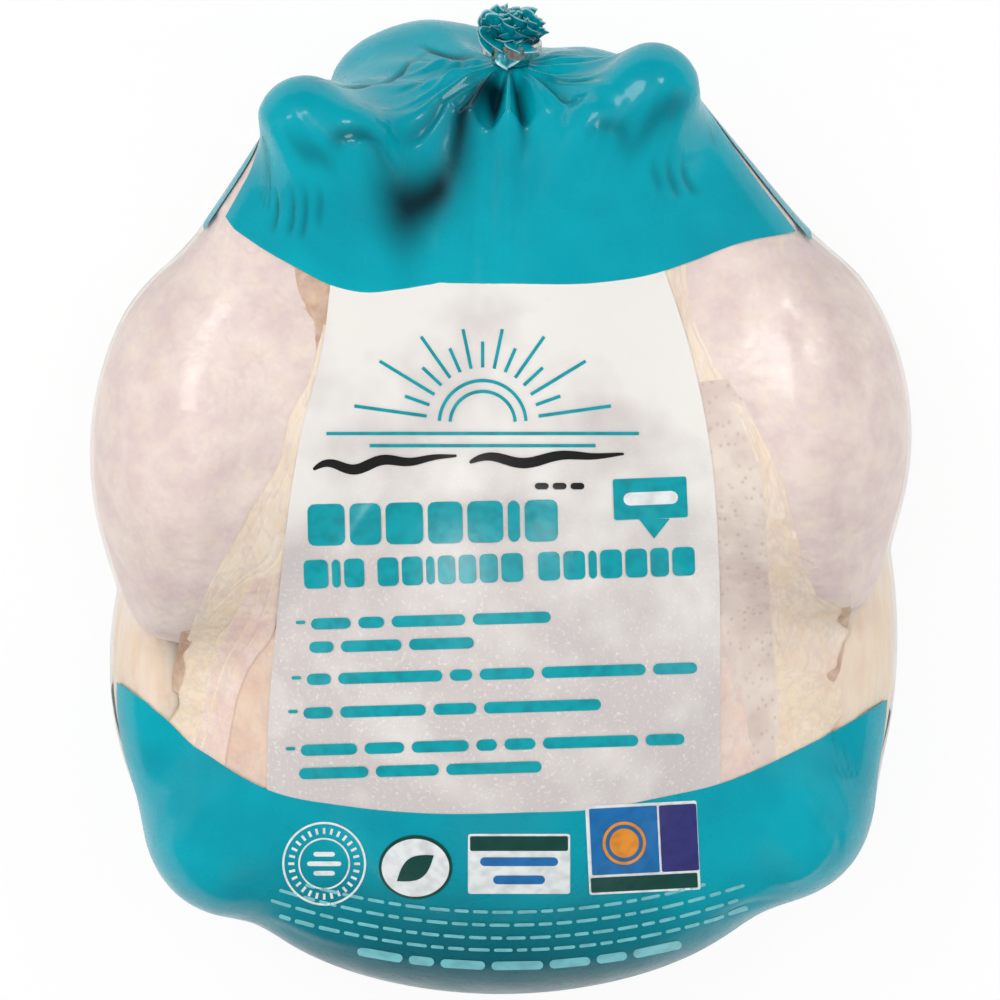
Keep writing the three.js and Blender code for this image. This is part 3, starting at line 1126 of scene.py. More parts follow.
@dataclass(frozen=True)
class PadSheet:
    """The absorbent pad: thin, pale and dimpled, with painted shade in the dimples, soaked through in
    places.
    """

    dry: tuple[float, float, float] = (246, 236, 228)
    soaked: tuple[float, float, float] = (228, 212, 206)
    pit_shade: tuple[float, float, float] = (184, 156, 148)
    edge: tuple[float, float, float] = (246, 238, 230)

    def make(self) -> bpy.types.Material:
        """Returns the material."""
        nodes = Finish("pad_sheet")
        wet = nodes.ranged(nodes.noise(60, 3, 0.6), 0.4, 0.62)
        base = nodes.mixed(wet, linear(self.dry), linear(self.soaked))
        dimple = nodes.cells(480.0)
        # painted shade: the bottoms of the dimples are darker
        pit_shade_share = nodes.ranged(dimple, 0.0, 0.32, 1.0, 0.0)
        colour = nodes.mixed(nodes.maths("MULTIPLY", pit_shade_share, 0.5), base, linear(self.pit_shade))
        side = nodes.effect(rims(), Width=0.04).outputs["Sides"]
        colour = nodes.mixed(nodes.maths("MULTIPLY", side, 0.6), colour, linear(self.edge))
        return nodes.coated(colour, 0.6, nodes.bump(dimple, 0.25 * MM))


@dataclass(frozen=True)
class Ink:
    """Ink of one colour on the film, a little uneven."""

    name: str
    colour: tuple[float, float, float]
    roughness: float = 0.3

    def make(self) -> bpy.types.Material:
        """Returns the material."""
        nodes = Finish(self.name)
        darker = tuple(0.9 * value for value in self.colour)
        patch = nodes.ranged(nodes.noise(330, 1), 0.4, 0.7)
        colour = nodes.mixed(patch, linear(self.colour), linear(darker))
        normal = nodes.effect(film_wrinkles(), Pitch=10.0, Depth=0.25).outputs["Normal"]
        return nodes.coated(colour, self.roughness, normal)


@dataclass(frozen=True)
class ClipMetal:
    """The bent metal band: satin, brushed round, with darker specks of wear."""

    bright: tuple[float, float, float] = (226, 219, 214)
    worn: tuple[float, float, float] = (150, 138, 130)

    def make(self) -> bpy.types.Material:
        """Returns the material."""
        nodes = Finish("clip_metal")
        wear = nodes.ranged(nodes.noise(830, 4, 0.6), 0.4, 0.75)
        colour = nodes.mixed(wear, linear(self.bright), linear(self.worn))
        rough = nodes.ranged(nodes.noise(1250, 3), 0.3, 0.7, 0.22, 0.42)
        return nodes.coated(colour, rough, nodes.bump(nodes.noise(1400, 3), 0.05 * MM), Metallic=1.0)


# The film and its print


def level(value: float) -> tuple[tuple[float, float], tuple[float, float]]:
    """Knots of a curve that keeps one value."""
    return (0, value), (360, value)


@dataclass
class Film:
    """The bag's film: the clear shell, the print on it, and the skin close under it at the sides."""

    form: BagForm
    shell_turns: int = 360
    shell_rows: int = 230
    print_lift: float = 0.14
    shell_top: float = 20.0
    overlap: float = 4.0
    # painted shade toward the neck end: how dark it grows, and between which falls in degrees
    neck_shade_ink: float = 0.75
    neck_shade_falls: tuple[float, float] = (138, 160)
    settling_passes: int = 5

    # Edges as the camera sees them, in millimetres from the view's middle, left to right.
    top_edge: tuple = (
        (-61.4, 62.6), (-54.5, 57.9), (-46.3, 53.3), (-39.4, 49.8), (-31.3, 48.0), (-23.2, 48.7),
        (-16.2, 49.8), (0, 50.0), (23.2, 50.3), (34.8, 52.1), (44.0, 55.1), (55.6, 59.5), (68.4, 62.1),
    )
    bottom_edge: tuple = (
        (-88.8, -41.9), (-81.1, -47.5), (-69.5, -57.5), (-53.3, -67.2), (-34.8, -70.9), (-16.2, -72.5),
        (4.6, -72.3), (23.2, -71.4), (37.1, -68.8), (51.0, -65.6), (69.5, -57.5), (81.1, -51.4),
        (88.9, -46.5),
    )
    panel_left: tuple = (
        (-38.7, 55.1), (-41.2, 34.8), (-46.3, 13.9), (-49.8, -9.3), (-52.1, -32.4), (-53.3, -46.3),
        (-54.2, -77.6),
    )
    panel_right: tuple = (
        (37.1, 56.1), (44.0, 34.8), (48.7, 11.6), (50.5, -9.3), (51.0, -32.4), (51.0, -46.3), (51.0, -77.6),
    )

    # The sides of the bands, as knots of fall and turn in degrees. Front and back meet at the
    # clip, and lower down a clear strip lies between them.
    front_right: tuple = ((0, 0), (22, 0), (28, 4.5), (43, 6))
    front_left: tuple = ((0, 180), (22, 180), (28, 174), (34, 172), (43, 171))
    back_left: tuple = ((0, 180), (22, 180), (28, 176), (34, 175), (46, 176))
    back_right: tuple = ((0, 360), (22, 360), (28, 363), (34, 363.5), (46, 363))
    back_top_fall: float = 46.0
    back_bottom_fall: float = 120.0

    def edge_knots(self, edge: tuple) -> list[tuple[float, float]]:
        """An edge in the view as knots of turn and fall in degrees, by rising turn."""
        places = path(edge, 60)
        turn, fall = np.degrees(self.form.seen(places[:, 0], places[:, 1]))
        order = np.argsort(turn)
        return list(zip(turn[order], fall[order]))

    def shell(self) -> Surface:
        """The clear film as one surface, from under the top bands to the neck end.

        It starts a little above the bands' edge, and higher up at the clear strips beside them.
        """
        turned = (np.arange(self.shell_turns) * 360 / self.shell_turns)[None]
        front = (turned > 6) & (turned < 171)
        edge = np.where(front, through(self.edge_knots(self.top_edge), turned), self.back_top_fall)
        aside = np.minimum(np.abs(turn_gap(turned, 173.5)), np.abs(turn_gap(turned, 4)))
        start = self.shell_top + (edge - self.overlap - self.shell_top) * smooth(5, 14, aside)
        fall = np.radians(start + (180 - start) * np.linspace(0, 1, self.shell_rows)[:, None])
        return Surface.from_grid(self.form.film(np.radians(turned), fall), closed=True)

    def band(self, sides: tuple, low: list, high: list, shape: tuple[int, int]) -> Surface:
        """A printed field between two edges, each a fall for every turn.

        Args:
            sides: knots of its first and its last side, each a turn for every fall.
            low: knots of the edge nearer the clip.
            high: knots of the edge nearer the neck.
            shape: how many rows and columns of points.

        Returns:
            The surface.
        """
        rows, columns = shape
        across = np.linspace(0, 1, columns)[None]
        share = np.linspace(0, 1, rows)[:, None]
        near = self.meeting(low, sides, across)
        far = self.meeting(high, sides, across)
        fall = near + (far - near) * share
        first = through(sides[0], fall)
        last = through(sides[1], fall)
        turn = np.radians(first + (last - first) * across)
        # painted shade: the print darkens along inked creases and toward the neck end, kept in the tone
        # attribute
        neck_shade = self.neck_shade_ink * smooth(*self.neck_shade_falls, fall)
        fall = np.radians(fall)
        _, ink = self.form.creased(turn, fall, self.form.pleated_reach(turn, fall))
        film = self.form.film(turn, fall, self.print_lift)
        return Surface.from_grid(film, tone=np.minimum(ink + neck_shade, 1))

    def meeting(self, edge: list, sides: tuple, across: np.ndarray) -> np.ndarray:
        """The falls of an edge at equal shares of the way between two sides.

        Args:
            edge: knots of the edge, a fall for every turn.
            sides: knots of the two sides, each a turn for every fall.
            across: shares of the way from the first side to the last.

        Returns:
            The falls in degrees, settled by reading edge and sides in turn.
        """
        turn = sides[0][-1][1] + (sides[1][-1][1] - sides[0][-1][1]) * across
        for _ in range(self.settling_passes):
            fall = through(edge, turn)
            first = through(sides[0], fall)
            turn = first + (through(sides[1], fall) - first) * across
        return fall

    def strip(self, turn: float) -> Surface:
        """Skin close under the clear strip between the top bands.

        It sinks away from the film at both sides and at its lower end.

        Args:
            turn: the strip's turn in degrees.

        Returns:
            The surface.
        """
        rows, columns = 150, 60
        half_width = 14
        rest, sink = 0.35, 2.5
        fall = np.linspace(17, 47, rows)[:, None]
        across = np.linspace(-1, 1, columns)[None]
        depth = rest + sink * smooth(0.8, 1, np.abs(across)) + sink * smooth(42, 47, fall)
        turns = np.radians(turn + half_width * across + 0 * fall)
        falls = np.radians(fall + 0 * across)
        return Surface.from_grid(self.form.film(turns, falls, -depth))

    def panel(self) -> Surface:
        """The pale panel between the bands."""
        rows, columns = 260, 200
        left = path(self.panel_left, rows)[:, None]
        right = path(self.panel_right, rows)[:, None]
        across = np.linspace(0, 1, columns)[None, :, None]
        places = left + (right - left) * across
        turn, fall = self.form.seen(places[..., 0], places[..., 1])
        return Surface.from_grid(self.form.film(turn, fall, 0.5 * self.print_lift), flip=True)

    def build(self) -> list[bpy.types.Object]:
        """Makes the shell and the printed fields.

        Returns:
            The new pieces.
        """
        teal = PrintedFilm("teal_print", (0, 166, 183), (0, 150, 168)).make()
        top, bottom = self.edge_knots(self.top_edge), self.edge_knots(self.bottom_edge)
        back_top, back_bottom = level(self.back_top_fall), level(self.back_bottom_fall)
        foot, end = level(2.2), level(180)
        bands = [
            ("band_top_front", (self.front_right, self.front_left), foot, top, (190, 460)),
            ("band_top_back", (self.back_left, self.back_right), foot, back_top, (120, 280)),
            ("band_bottom_front", (level(5), level(175)), bottom, end, (120, 320)),
            ("band_bottom_back", (level(183), level(357)), back_bottom, end, (100, 260)),
        ]
        skin = RawSkin("strip_skin", (247, 235, 230), (236, 219, 219), pitch=9).make()
        pieces = [
            Surface.joined([self.strip(turn) for turn in (4, 174)]).to_object("strip_skin", skin),
            self.shell().to_object("clear_film", ClearFilm().make()),
            self.panel().to_object("panel_print", PanelFilm().make()),
        ]
        return pieces + [self.band(*field_form).to_object(name, teal) for name, *field_form in bands]


class Tint(Enum):
    """The inks of the marks, as 0 to 255 screen values."""

    TEAL = (0, 160, 172)
    BLACK = (26, 24, 24)
    WHITE = (236, 240, 240)
    PALE = (120, 200, 208)
    GREEN = (10, 70, 62)
    BLUE = (24, 112, 178)
    VIOLET = (52, 52, 120)
    AMBER = (236, 150, 50)


@dataclass
class Print:
    """The marks on the film, laid out as the camera sees them, in millimetres from the middle.

    Words are plain bars and blocks, the seals and the drawing are generic.
    """

    form: BagForm
    lift: float = 0.3
    layer: float = 0.12

    def laid(self, u: np.ndarray, v: np.ndarray, layer: int = 0) -> Surface:
        """Lays a grid of view places on the film.

        Args:
            u: millimetres to the right of the view's middle.
            v: millimetres above it.
            layer: how many inks lie under this one.

        Returns:
            The surface, facing out.
        """
        turn, fall = self.form.seen(u, v)
        points = self.form.film(turn, fall, self.lift + layer * self.layer)
        across = points[:, 1:].mean((0, 1)) - points[:, :-1].mean((0, 1))
        down = points[1:].mean((0, 1)) - points[:-1].mean((0, 1))
        outward = points.mean((0, 1)) - HEART
        return Surface.from_grid(points, flip=float(np.cross(across, down) @ outward) < 0)

    def bar(self, at: tuple[float, float], length: float, height: float, slope: float = 0.0,
            corner: float | None = None, layer: int = 0) -> Surface:
        """A bar with rounded corners.

        Its half height is h - r plus the root of r^2 less the square of how far the place is
        into a corner of radius r.

        Args:
            at: middle of the bar.
            length: its length.
            height: its height.
            slope: rise over run of its line.
            corner: corner radius, or None for round ends.
            layer: how many inks lie under it.

        Returns:
            The surface.
        """
        corner = height / 2 if corner is None else corner
        count = max(10, int(length / 0.8))
        along = -length / 2 * np.cos(np.linspace(0, math.pi, count))[None]
        into = np.maximum(np.abs(along) - (length / 2 - corner), 0)
        half = height / 2 - corner + np.sqrt(np.maximum(corner**2 - into**2, 0))
        across = np.linspace(1, -1, max(5, int(height / 0.8)))[:, None] * half
        return self.laid(at[0] + along - slope * across, at[1] + across + slope * along, layer)

    def ring(self, at: tuple[float, float], inner: tuple[float, float], outer: tuple[float, float],
             layer: int = 0, arc: tuple[float, float] = (0, 360)) -> Surface:
        """A ring or disc: places between two ellipses, at shares of their radii.

        Args:
            at: its middle.
            inner: the inner half width and half height, zero for a disc.
            outer: the outer ones.
            layer: how many inks lie under it.
            arc: first and last angle in degrees.

        Returns:
            The surface.
        """
        share = np.linspace(0, 1, 6)[:, None]
        angle = np.radians(np.linspace(*arc, 72))[None]
        wide = inner[0] + (outer[0] - inner[0]) * share
        high = inner[1] + (outer[1] - inner[1]) * share
        return self.laid(at[0] + wide * np.cos(angle), at[1] + high * np.sin(angle), layer)

    def stroke(self, line: np.ndarray, width: float | np.ndarray, layer: int = 0) -> Surface:
        """A pen stroke: each point of a line carried to both sides by half the width.

        Args:
            line: places along the stroke, rows of two.
            width: the stroke's width, one for all places or one for each.
            layer: how many inks lie under it.

        Returns:
            The surface.
        """
        heading = unit(np.gradient(line, axis=0))
        half = (np.broadcast_to(width, len(line)) / 2)[:, None]
        beside = np.stack([-heading[:, 1], heading[:, 0]], -1) * half
        rows = line[None] + np.linspace(1, -1, 3)[:, None, None] * beside[None]
        return self.laid(rows[..., 0], rows[..., 1], layer)

    def words(self, at: tuple[float, float], lengths: list[float], height: float, slope: float,
              gap: float, corner: float | None = None) -> list[Surface]:
        """A line of bars, one for each word.

        Args:
            at: left end of the line, on its middle.
            lengths: how long each word is.
            height: how tall the bars are.
            slope: rise over run of the line.
            gap: space between words.
            corner: corner radius of the bars, or None for round ends.

        Returns:
            One surface for each word.
        """
        bars = []
        reached = 0.0
        for length in lengths:
            middle = reached + length / 2
            bars.append(self.bar((at[0] + middle, at[1] + slope * middle), length, height, slope, corner))
            reached += length + gap
        return bars

    def headline(self) -> Surface:
        """Two lines of blocks, the first taller."""
        tall = self.words((-44.3, -5.8), [8.6, 7.2, 8.6, 8.0, 8.2, 2.8, 7.6], 9.6, 0.02, 1.1, 1.6)
        slope = 0.035
        low = self.words((-45.2, -17.2), [5.6, 1.9, 4.6], 6.6, slope, 0.9, 1.2)
        low += self.words((-28.2, -16.6), [4.8, 4.8, 1.9, 4.0, 4.0, 4.2, 5.0], 6.6, slope, 0.8, 1.2)
        low += self.words((8.8, -15.3), [5.0, 5.0, 1.9, 5.0, 5.0, 4.2, 5.2], 6.6, slope, 0.8, 1.2)
        return Surface.joined(tall + low)

    def body_words(self) -> Surface:
        """The small lines, each first one with a dash before it."""
        height, slope, gap = 2.6, 0.03, 1.7
        lines = [
            ((-43.6, -28.6), [9.2, 6.0, 17.0, 18.0], 2.2),
            ((-44.0, -34.0), [5.6, 14.0, 15.0], None),
            ((-44.6, -41.4), [5.6, 24.0, 5.2, 12.6, 24.0, 10.2], 2.2),
            ((-45.4, -49.2), [6.8, 19.8, 10.0, 27.0], 2.2),
            ((-46.0, -57.8), [13.0, 9.2, 13.2, 4.8, 7.2, 22.0, 9.0], 2.2),
            ((-46.4, -63.2), [16.0, 14.6, 22.0], None),
        ]
        bars = []
        for start, lengths, dash in lines:
            bars += self.words(start, lengths, height, slope, gap)
            if dash is not None:
                bars.append(self.bar((start[0] - 2.4, start[1] + 0.4), dash, 0.8, slope))
        return Surface.joined(bars)

    def sunburst(self) -> Surface:
        """The drawing: half a sun with rays over two ground lines, in thin strokes."""
        middle = np.array([-4.0, 17.5])
        pen = 0.75
        strokes = []
        for radius in (7.5, 10.0):
            angle = np.radians(np.linspace(4, 176, 60))
            line = middle + radius * np.stack([np.cos(angle), np.sin(angle)], -1)
            strokes.append(self.stroke(line, pen))
        rays = 15
        for k in range(rays):
            angle = math.radians(8 + 164 * k / (rays - 1))
            short = k % 2
            far = 26 + 4 * math.cos(2 * angle) * (1 - short) - 7 * short
            reach = np.linspace(13.0, far, 24)[:, None]
            strokes.append(self.stroke(middle + reach * np.array([math.cos(angle), math.sin(angle)]), pen))
        for drop, half in ((2.2, 36.0), (5.0, 26.0)):
            along = np.linspace(-half, half, 60)
            strokes.append(self.stroke(middle + np.stack([along, 0 * along - drop], -1), pen))
        return Surface.joined(strokes)

    def brush_mark(self) -> Surface:
        """Two dark brush strokes with a dot line under the second."""
        strokes = []
        marks = (((-43, 7.0), (-10, 10.2), 2.5), ((-7, 8.6), (28.5, 10.6), 2.0))
        share = np.linspace(0, 1, 90)
        for start, end, waves in marks:
            line = np.array(start) + share[:, None] * (np.array(end) - np.array(start))
            line[:, 1] += 1.3 * np.sin(TAU * waves * share) * (1 - share)
            strokes.append(self.stroke(line, 0.5 + 1.9 * np.sin(math.pi * share**0.7) ** 0.8))
        strokes += self.words((8.0, 3.2), [3.2, 3.2, 3.2], 1.5, 0.0, 0.9)
        return Surface.joined(strokes)

    def tag(self) -> tuple[Surface, Surface]:
        """The small tag with its point below, and the plain bar on it."""
        share = np.linspace(0, 1, 8)
        along = np.linspace(-1, 1, 7)[None]
        point_u = 35.5 + 3.6 * along * (1 - share)[:, None]
        point_v = -4.3 - 4.6 * share[:, None] + 0 * along
        plate = self.bar((34.6, 0.4), 17.0, 9.4, 0.04, 0.5)
        bar = self.bar((34.6, 0.4), 12.6, 3.0, 0.04, None, 1)
        return Surface.joined([plate, self.laid(point_u, point_v)]), bar

    def ring_seal(self) -> Surface:
        """A white seal: two rings with short spokes between them and bars inside."""
        at = (-40.6, -84.0)
        parts = [self.ring(at, (9.2, 9.2), (9.7, 9.7)), self.ring(at, (5.6, 5.6), (6.0, 6.0))]
        spokes = 28
        for k in range(spokes):
            angle = TAU * k / spokes
            reach = np.linspace(6.9, 8.3, 4)[:, None]
            line = np.array(at) + reach * np.array([math.cos(angle), math.sin(angle)])
            parts.append(self.stroke(line, 0.6))
        for rise, length in ((2.2, 5), (0, 8), (-2.2, 5)):
            parts.append(self.bar((at[0], at[1] + rise), length, 1.1))
        return Surface.joined(parts)

    def build(self) -> list[bpy.types.Object]:
        """Makes every mark.

        Returns:
            The new pieces.
        """
        inks = {tint: Ink(tint.name.lower() + "_ink", tint.value).make() for tint in Tint}
        plate, plate_bar = self.tag()
        marks = [
            ("headline_blocks", self.headline(), Tint.TEAL),
            ("word_bars", self.body_words(), Tint.TEAL),
            ("sunburst", self.sunburst(), Tint.TEAL),
            ("brush_mark", self.brush_mark(), Tint.BLACK),
            ("tag_plate", plate, Tint.TEAL),
            ("tag_bar", plate_bar, Tint.WHITE),
            ("ring_seal", self.ring_seal(), Tint.WHITE),
        ]
        marks += self.leaf_seal() + self.bar_seal() + self.field_seal()
        marks.append(("fine_lines", self.fine_lines(), Tint.PALE))
        return [surface.to_object(name, inks[tint]) for name, surface, tint in marks]

    def leaf_seal(self) -> list[tuple[str, Surface, Tint]]:
        """A dark-rimmed oval with a plain leaf.

        Returns:
            Name, surface and ink of each of its pieces.
        """
        at = (-19.5, -84.8)
        share = np.linspace(0, 1, 30)[None]
        half = 2.6 * np.sin(math.pi * share) * np.linspace(1, -1, 7)[:, None]
        along = -5.2 + 10.4 * share + 0 * half
        tilt = math.radians(35)
        leaf = self.laid(at[0] + along * math.cos(tilt) - half * math.sin(tilt),
                         at[1] + along * math.sin(tilt) + half * math.cos(tilt), 2)
        return [
            ("leaf_seal_rim", self.ring(at, (0, 0), (8.5, 7.4)), Tint.GREEN),
            ("leaf_seal_field", self.ring(at, (0, 0), (7.8, 6.7), 1), Tint.WHITE),
            ("leaf_seal_leaf", leaf, Tint.GREEN),
        ]

    def bar_seal(self) -> list[tuple[str, Surface, Tint]]:
        """A pale plate with a dark head strip and blue bars.

        Returns:
            Name, surface and ink of each of its pieces.
        """
        u, v = 4.4, -84.0
        lines = ((0.6, 18), (-3.6, 12))
        bars = [self.bar((u, v + rise), length, 2.0, layer=1) for rise, length in lines]
        return [
            ("bar_seal_plate", self.bar((u, v), 23.6, 13.9, 0, 0.6), Tint.WHITE),
            ("bar_seal_strip", self.bar((u, v + 4.8), 22.6, 3.4, 0, 0.4, 1), Tint.GREEN),
            ("bar_seal_bars", Surface.joined(bars), Tint.BLUE),
        ]

    def field_seal(self) -> list[tuple[str, Surface, Tint]]:
        """A square of colour fields with a plain sun.

        Returns:
            Name, surface and ink of each of its pieces.
        """
        u, v = 33.0, -80.3
        slope = 0.05
        sun = (28.6, -79.0)
        rings = [self.ring(sun, (0, 0), (3.4, 3.4), 2), self.ring(sun, (4.3, 4.3), (5.0, 5.0), 2)]
        fields = [
            ("sky", (u - 4.3, v + 1.8), 15.6, 15.4, Tint.BLUE),
            ("side", (u + 8.3, v + 2.4), 8.6, 15.4, Tint.VIOLET),
            ("strip", (u + 0.3, v - 8.0), 24.6, 3.4, Tint.GREEN),
        ]
        marks = [("field_seal_edge", self.bar((u, v), 25.7, 20.6, slope, 0.5), Tint.WHITE)]
        for name, at, length, height, tint in fields:
            marks.append(("field_seal_" + name, self.bar(at, length, height, slope, 0.3, 1), tint))
        marks.append(("field_seal_sun", Surface.joined(rings), Tint.AMBER))
        return marks

    def fine_lines(self) -> Surface:
        """Rows of short pale bars that follow the sag of the band toward the neck."""
        bars = []
        rows = [
            (-95.2, 46, 0.75), (-98.2, 52, 0.75), (-101.2, 54, 0.75), (-104.0, 52, 0.75),
            (-107.6, 34, 2.0),
        ]
        for row, (height, half, thick) in enumerate(rows):
            reached = -half
            step = 0
            while reached < half:
                length = (2.4 + 2.6 * abs(math.sin(2.3 * step + row))) * (1 if thick < 1 else 2.4)
                middle = reached + length / 2
                sag = 0.0030 * middle**2
                bars.append(self.bar((middle + 1.0, height + sag), length, thick, 0.0060 * middle))
                reached += length + 0.9 * (1 if thick < 1 else 1.6)
                step += 1
        return Surface.joined(bars)


# The bird's skin


class Tone(Enum):
    """The looks of what lies against the film."""

    LEG = "leg"
    CREAM = "cream"
    YELLOW = "yellow"
    PINK = "pink"
    ORANGE = "orange"
    # painted shade: brown sheets that stand for the shade in the gaps and hollow between parts
    BROWN = "brown"
    PAD = "pad"


@dataclass(frozen=True)
class Patch:
    """Skin or pad against the film, between two edges that run down the view.

    The edges are places in millimetres right of and above the view's middle. Depth is how far
    it lies under the film, rim how much further its edges do, creases how many furrows run
    along it, and ragged how far its two edges wander.
    """

    name: str
    tone: Tone
    first: list[tuple[float, float]]
    second: list[tuple[float, float]]
    depth: float = 0.25
    rim: float = 0.2
    creases: int = 0
    ragged: tuple[float, float] = (0.0, 0.0)
    fineness: tuple[int, int] = (150, 60)


PATCHES = [
    Patch("leg_web_left", Tone.LEG,
          [(-68.4, 63.0), (-67.9, 39.4), (-69.0, 23.2), (-71.8, 7.0), (-76.9, -13.9), (-82.0, -31.5)],
          [(-47.7, 63.0), (-46.1, 48.7), (-42.4, 40.8), (-42.2, 34.8), (-44.3, 24.6), (-47.3, 19.0),
           (-51.2, 7.0), (-54.7, 0.9), (-57.9, -4.6), (-61.9, -11.1), (-67.2, -21.3), (-74.1, -33.8)],
          0.42, 0.35),
    Patch("leg_web_right", Tone.LEG,
          [(40.8, 63.0), (44.0, 41.7), (49.1, 31.0), (54.0, 23.6), (60.0, 14.4), (63.5, 7.0),
           (65.8, 0.0), (67.2, -7.0), (69.3, -13.9), (71.8, -19.7), (75.1, -23.6), (79.5, -26.9)],
          [(68.5, 65.0), (73.0, 39.4), (76.5, 23.2), (78.8, 11.6), (80.2, 0.0), (81.1, -7.0),
           (81.8, -12.7), (82.5, -17.4), (82.9, -20.9), (82.9, -23.2), (82.9, -25.0), (81.6, -27.3)],
          0.42, 0.35),
    # painted shade: a brown sheet in the shadowed hollow between the left leg and the panel
    Patch("hollow_shade_left", Tone.BROWN,
          [(-51.9, 60.2), (-50.0, 48.7), (-47.3, 43.6), (-43.6, 38.9), (-42.9, 34.8)],
          [(-38.0, 60.2), (-38.5, 48.7), (-39.2, 43.6), (-40.3, 38.9), (-40.6, 34.8)], 0.65, 0.0),
    Patch("fold_left", Tone.CREAM,
          [(-41.2, 41.2), (-45.6, 26.0), (-48.9, 20.2), (-52.4, 7.4), (-55.6, 1.9), (-59.1, -3.5),
           (-63.0, -10.4), (-68.4, -20.9), (-73.2, -32.4)],
          [(-38.5, 39.4), (-41.2, 23.2), (-43.6, 11.6), (-45.9, 2.3), (-48.2, -7.0), (-50.5, -16.7),
           (-57.9, -19.9), (-64.4, -24.8), (-72.3, -33.1)],
          creases=4),
    Patch("fat_left", Tone.YELLOW,
          [(-60.2, -19.2), (-64.4, -24.1), (-72.1, -31.5), (-73.9, -38.9), (-75.3, -46.3),
           (-77.4, -55.1)],
          [(-52.8, -16.9), (-56.5, -24.6), (-60.7, -33.6), (-63.9, -44.0), (-66.7, -53.3),
           (-69.0, -61.4)],
          creases=1, ragged=(1.2, 0.0)),
    Patch("flap_left", Tone.PINK,
          [(-56.1, -16.5), (-60.7, -24.1), (-65.6, -33.6), (-68.6, -44.0), (-70.4, -53.3),
           (-72.8, -59.1)],
          [(-51.2, -15.5), (-51.9, -25.5), (-53.3, -32.0), (-57.7, -38.0), (-60.5, -44.0),
           (-62.6, -53.3), (-64.4, -64.4)],
          0.2, creases=2),
    Patch("breast_left", Tone.ORANGE,
          [(-55.1, -30.1), (-59.1, -37.5), (-62.1, -44.0), (-64.6, -53.3), (-66.7, -63.7)],
          [(-43.6, -30.1), (-44.5, -38.9), (-45.4, -44.0), (-46.3, -53.3), (-47.7, -69.5)], 0.55, 0.05),
    # painted shade: a brown sheet in the shadowed gap beside the left wing
    Patch("gap_shade_left", Tone.BROWN,
          [(-74.6, -30.6), (-76.0, -38.9), (-76.9, -44.5)],
          [(-68.4, -28.7), (-73.2, -38.2), (-74.1, -45.6)], 0.5, 0.1),
    Patch("hollow_right", Tone.CREAM,
          [(35.2, 62.0), (39.4, 41.7), (41.7, 32.4), (44.0, 23.2)],
          [(44.0, 62.0), (46.3, 41.7), (51.4, 31.0), (56.1, 22.0)], 0.6, 0.0, creases=3),
    Patch("pad_sheet", Tone.PAD,
          [(44.0, 27.3), (46.3, 16.2), (47.7, 0.0), (48.7, -13.9), (49.1, -32.4), (49.1, -69.5)],
          [(53.5, 28.3), (59.3, 18.5), (61.9, 2.3), (62.6, -13.2), (63.3, -23.2), (63.9, -32.4),
           (64.6, -41.7), (64.2, -69.5)], 0.3, 0.1),
    Patch("fold_right", Tone.CREAM,
          [(52.8, 25.0), (57.0, 15.8), (60.2, 5.6), (61.6, -4.6), (62.1, -18.5)],
          [(56.5, 22.7), (61.6, 13.9), (65.8, 5.1), (68.6, -4.6), (71.4, -15.3)], creases=3),
    Patch("flap_right", Tone.CREAM,
          [(61.6, 0.0), (62.1, -13.9), (62.6, -20.9), (62.8, -26.0), (63.9, -32.4), (67.7, -39.9)],
          [(65.8, 0.0), (69.3, -13.0), (73.2, -20.4), (79.2, -25.7), (80.6, -32.0), (77.2, -40.8)],
          0.2, creases=4, ragged=(0.0, 1.2)),
    Patch("under_flap_right", Tone.YELLOW,
          [(62.1, -13.9), (62.6, -32.4), (63.0, -41.7), (63.0, -51.0), (63.0, -67.2)],
          [(69.5, -20.9), (74.1, -33.6), (77.6, -40.8), (79.7, -46.3), (78.5, -51.4), (75.1, -61.4)],
          0.38, creases=1, ragged=(0.0, 1.2)),
    # painted shade: a brown sheet in the shadowed gap beside the right wing
    Patch("gap_shade_right", Tone.BROWN,
          [(76.9, -26.0), (76.9, -34.8), (76.0, -42.6), (76.9, -49.6)],
          [(82.3, -24.6), (80.6, -33.1), (79.2, -41.7), (78.8, -49.1)], 0.5, 0.1),
    Patch("breast_right", Tone.PINK,
          [(49.1, -34.8), (49.4, -46.3), (49.4, -69.5)],
          [(52.8, -35.9), (56.1, -44.0), (58.4, -54.4), (59.5, -69.5)], 0.2, ragged=(0.0, 0.4)),
]


@dataclass(frozen=True)
class Frill:
    """One frill of the tuft, in millimetres along and out from the clip's axis."""

    base: float
    height: float
    foot: float
    radius: float
    waves: int
    depth: float
    seed: float
    droop: float = 0.0


FRILLS = [
    Frill(-1.5, 6.0, 4.3, 4.2, 12, 0.1, 0.4),
    Frill(4.0, 1.0, 3.8, 6.6, 7, 1.4, 0.9, 5.6),
    Frill(4.1, 2.2, 3.6, 6.3, 8, 1.6, 2.2, 2.6),
    Frill(4.2, 3.4, 3.2, 5.9, 9, 1.7, 3.7, 1.0),
    Frill(4.3, 4.5, 2.8, 5.0, 8, 1.6, 5.1),
    Frill(4.4, 5.3, 2.2, 3.6, 6, 1.4, 0.2),
    Frill(4.4, 5.6, 1.2, 1.9, 4, 0.9, 2.8),
]


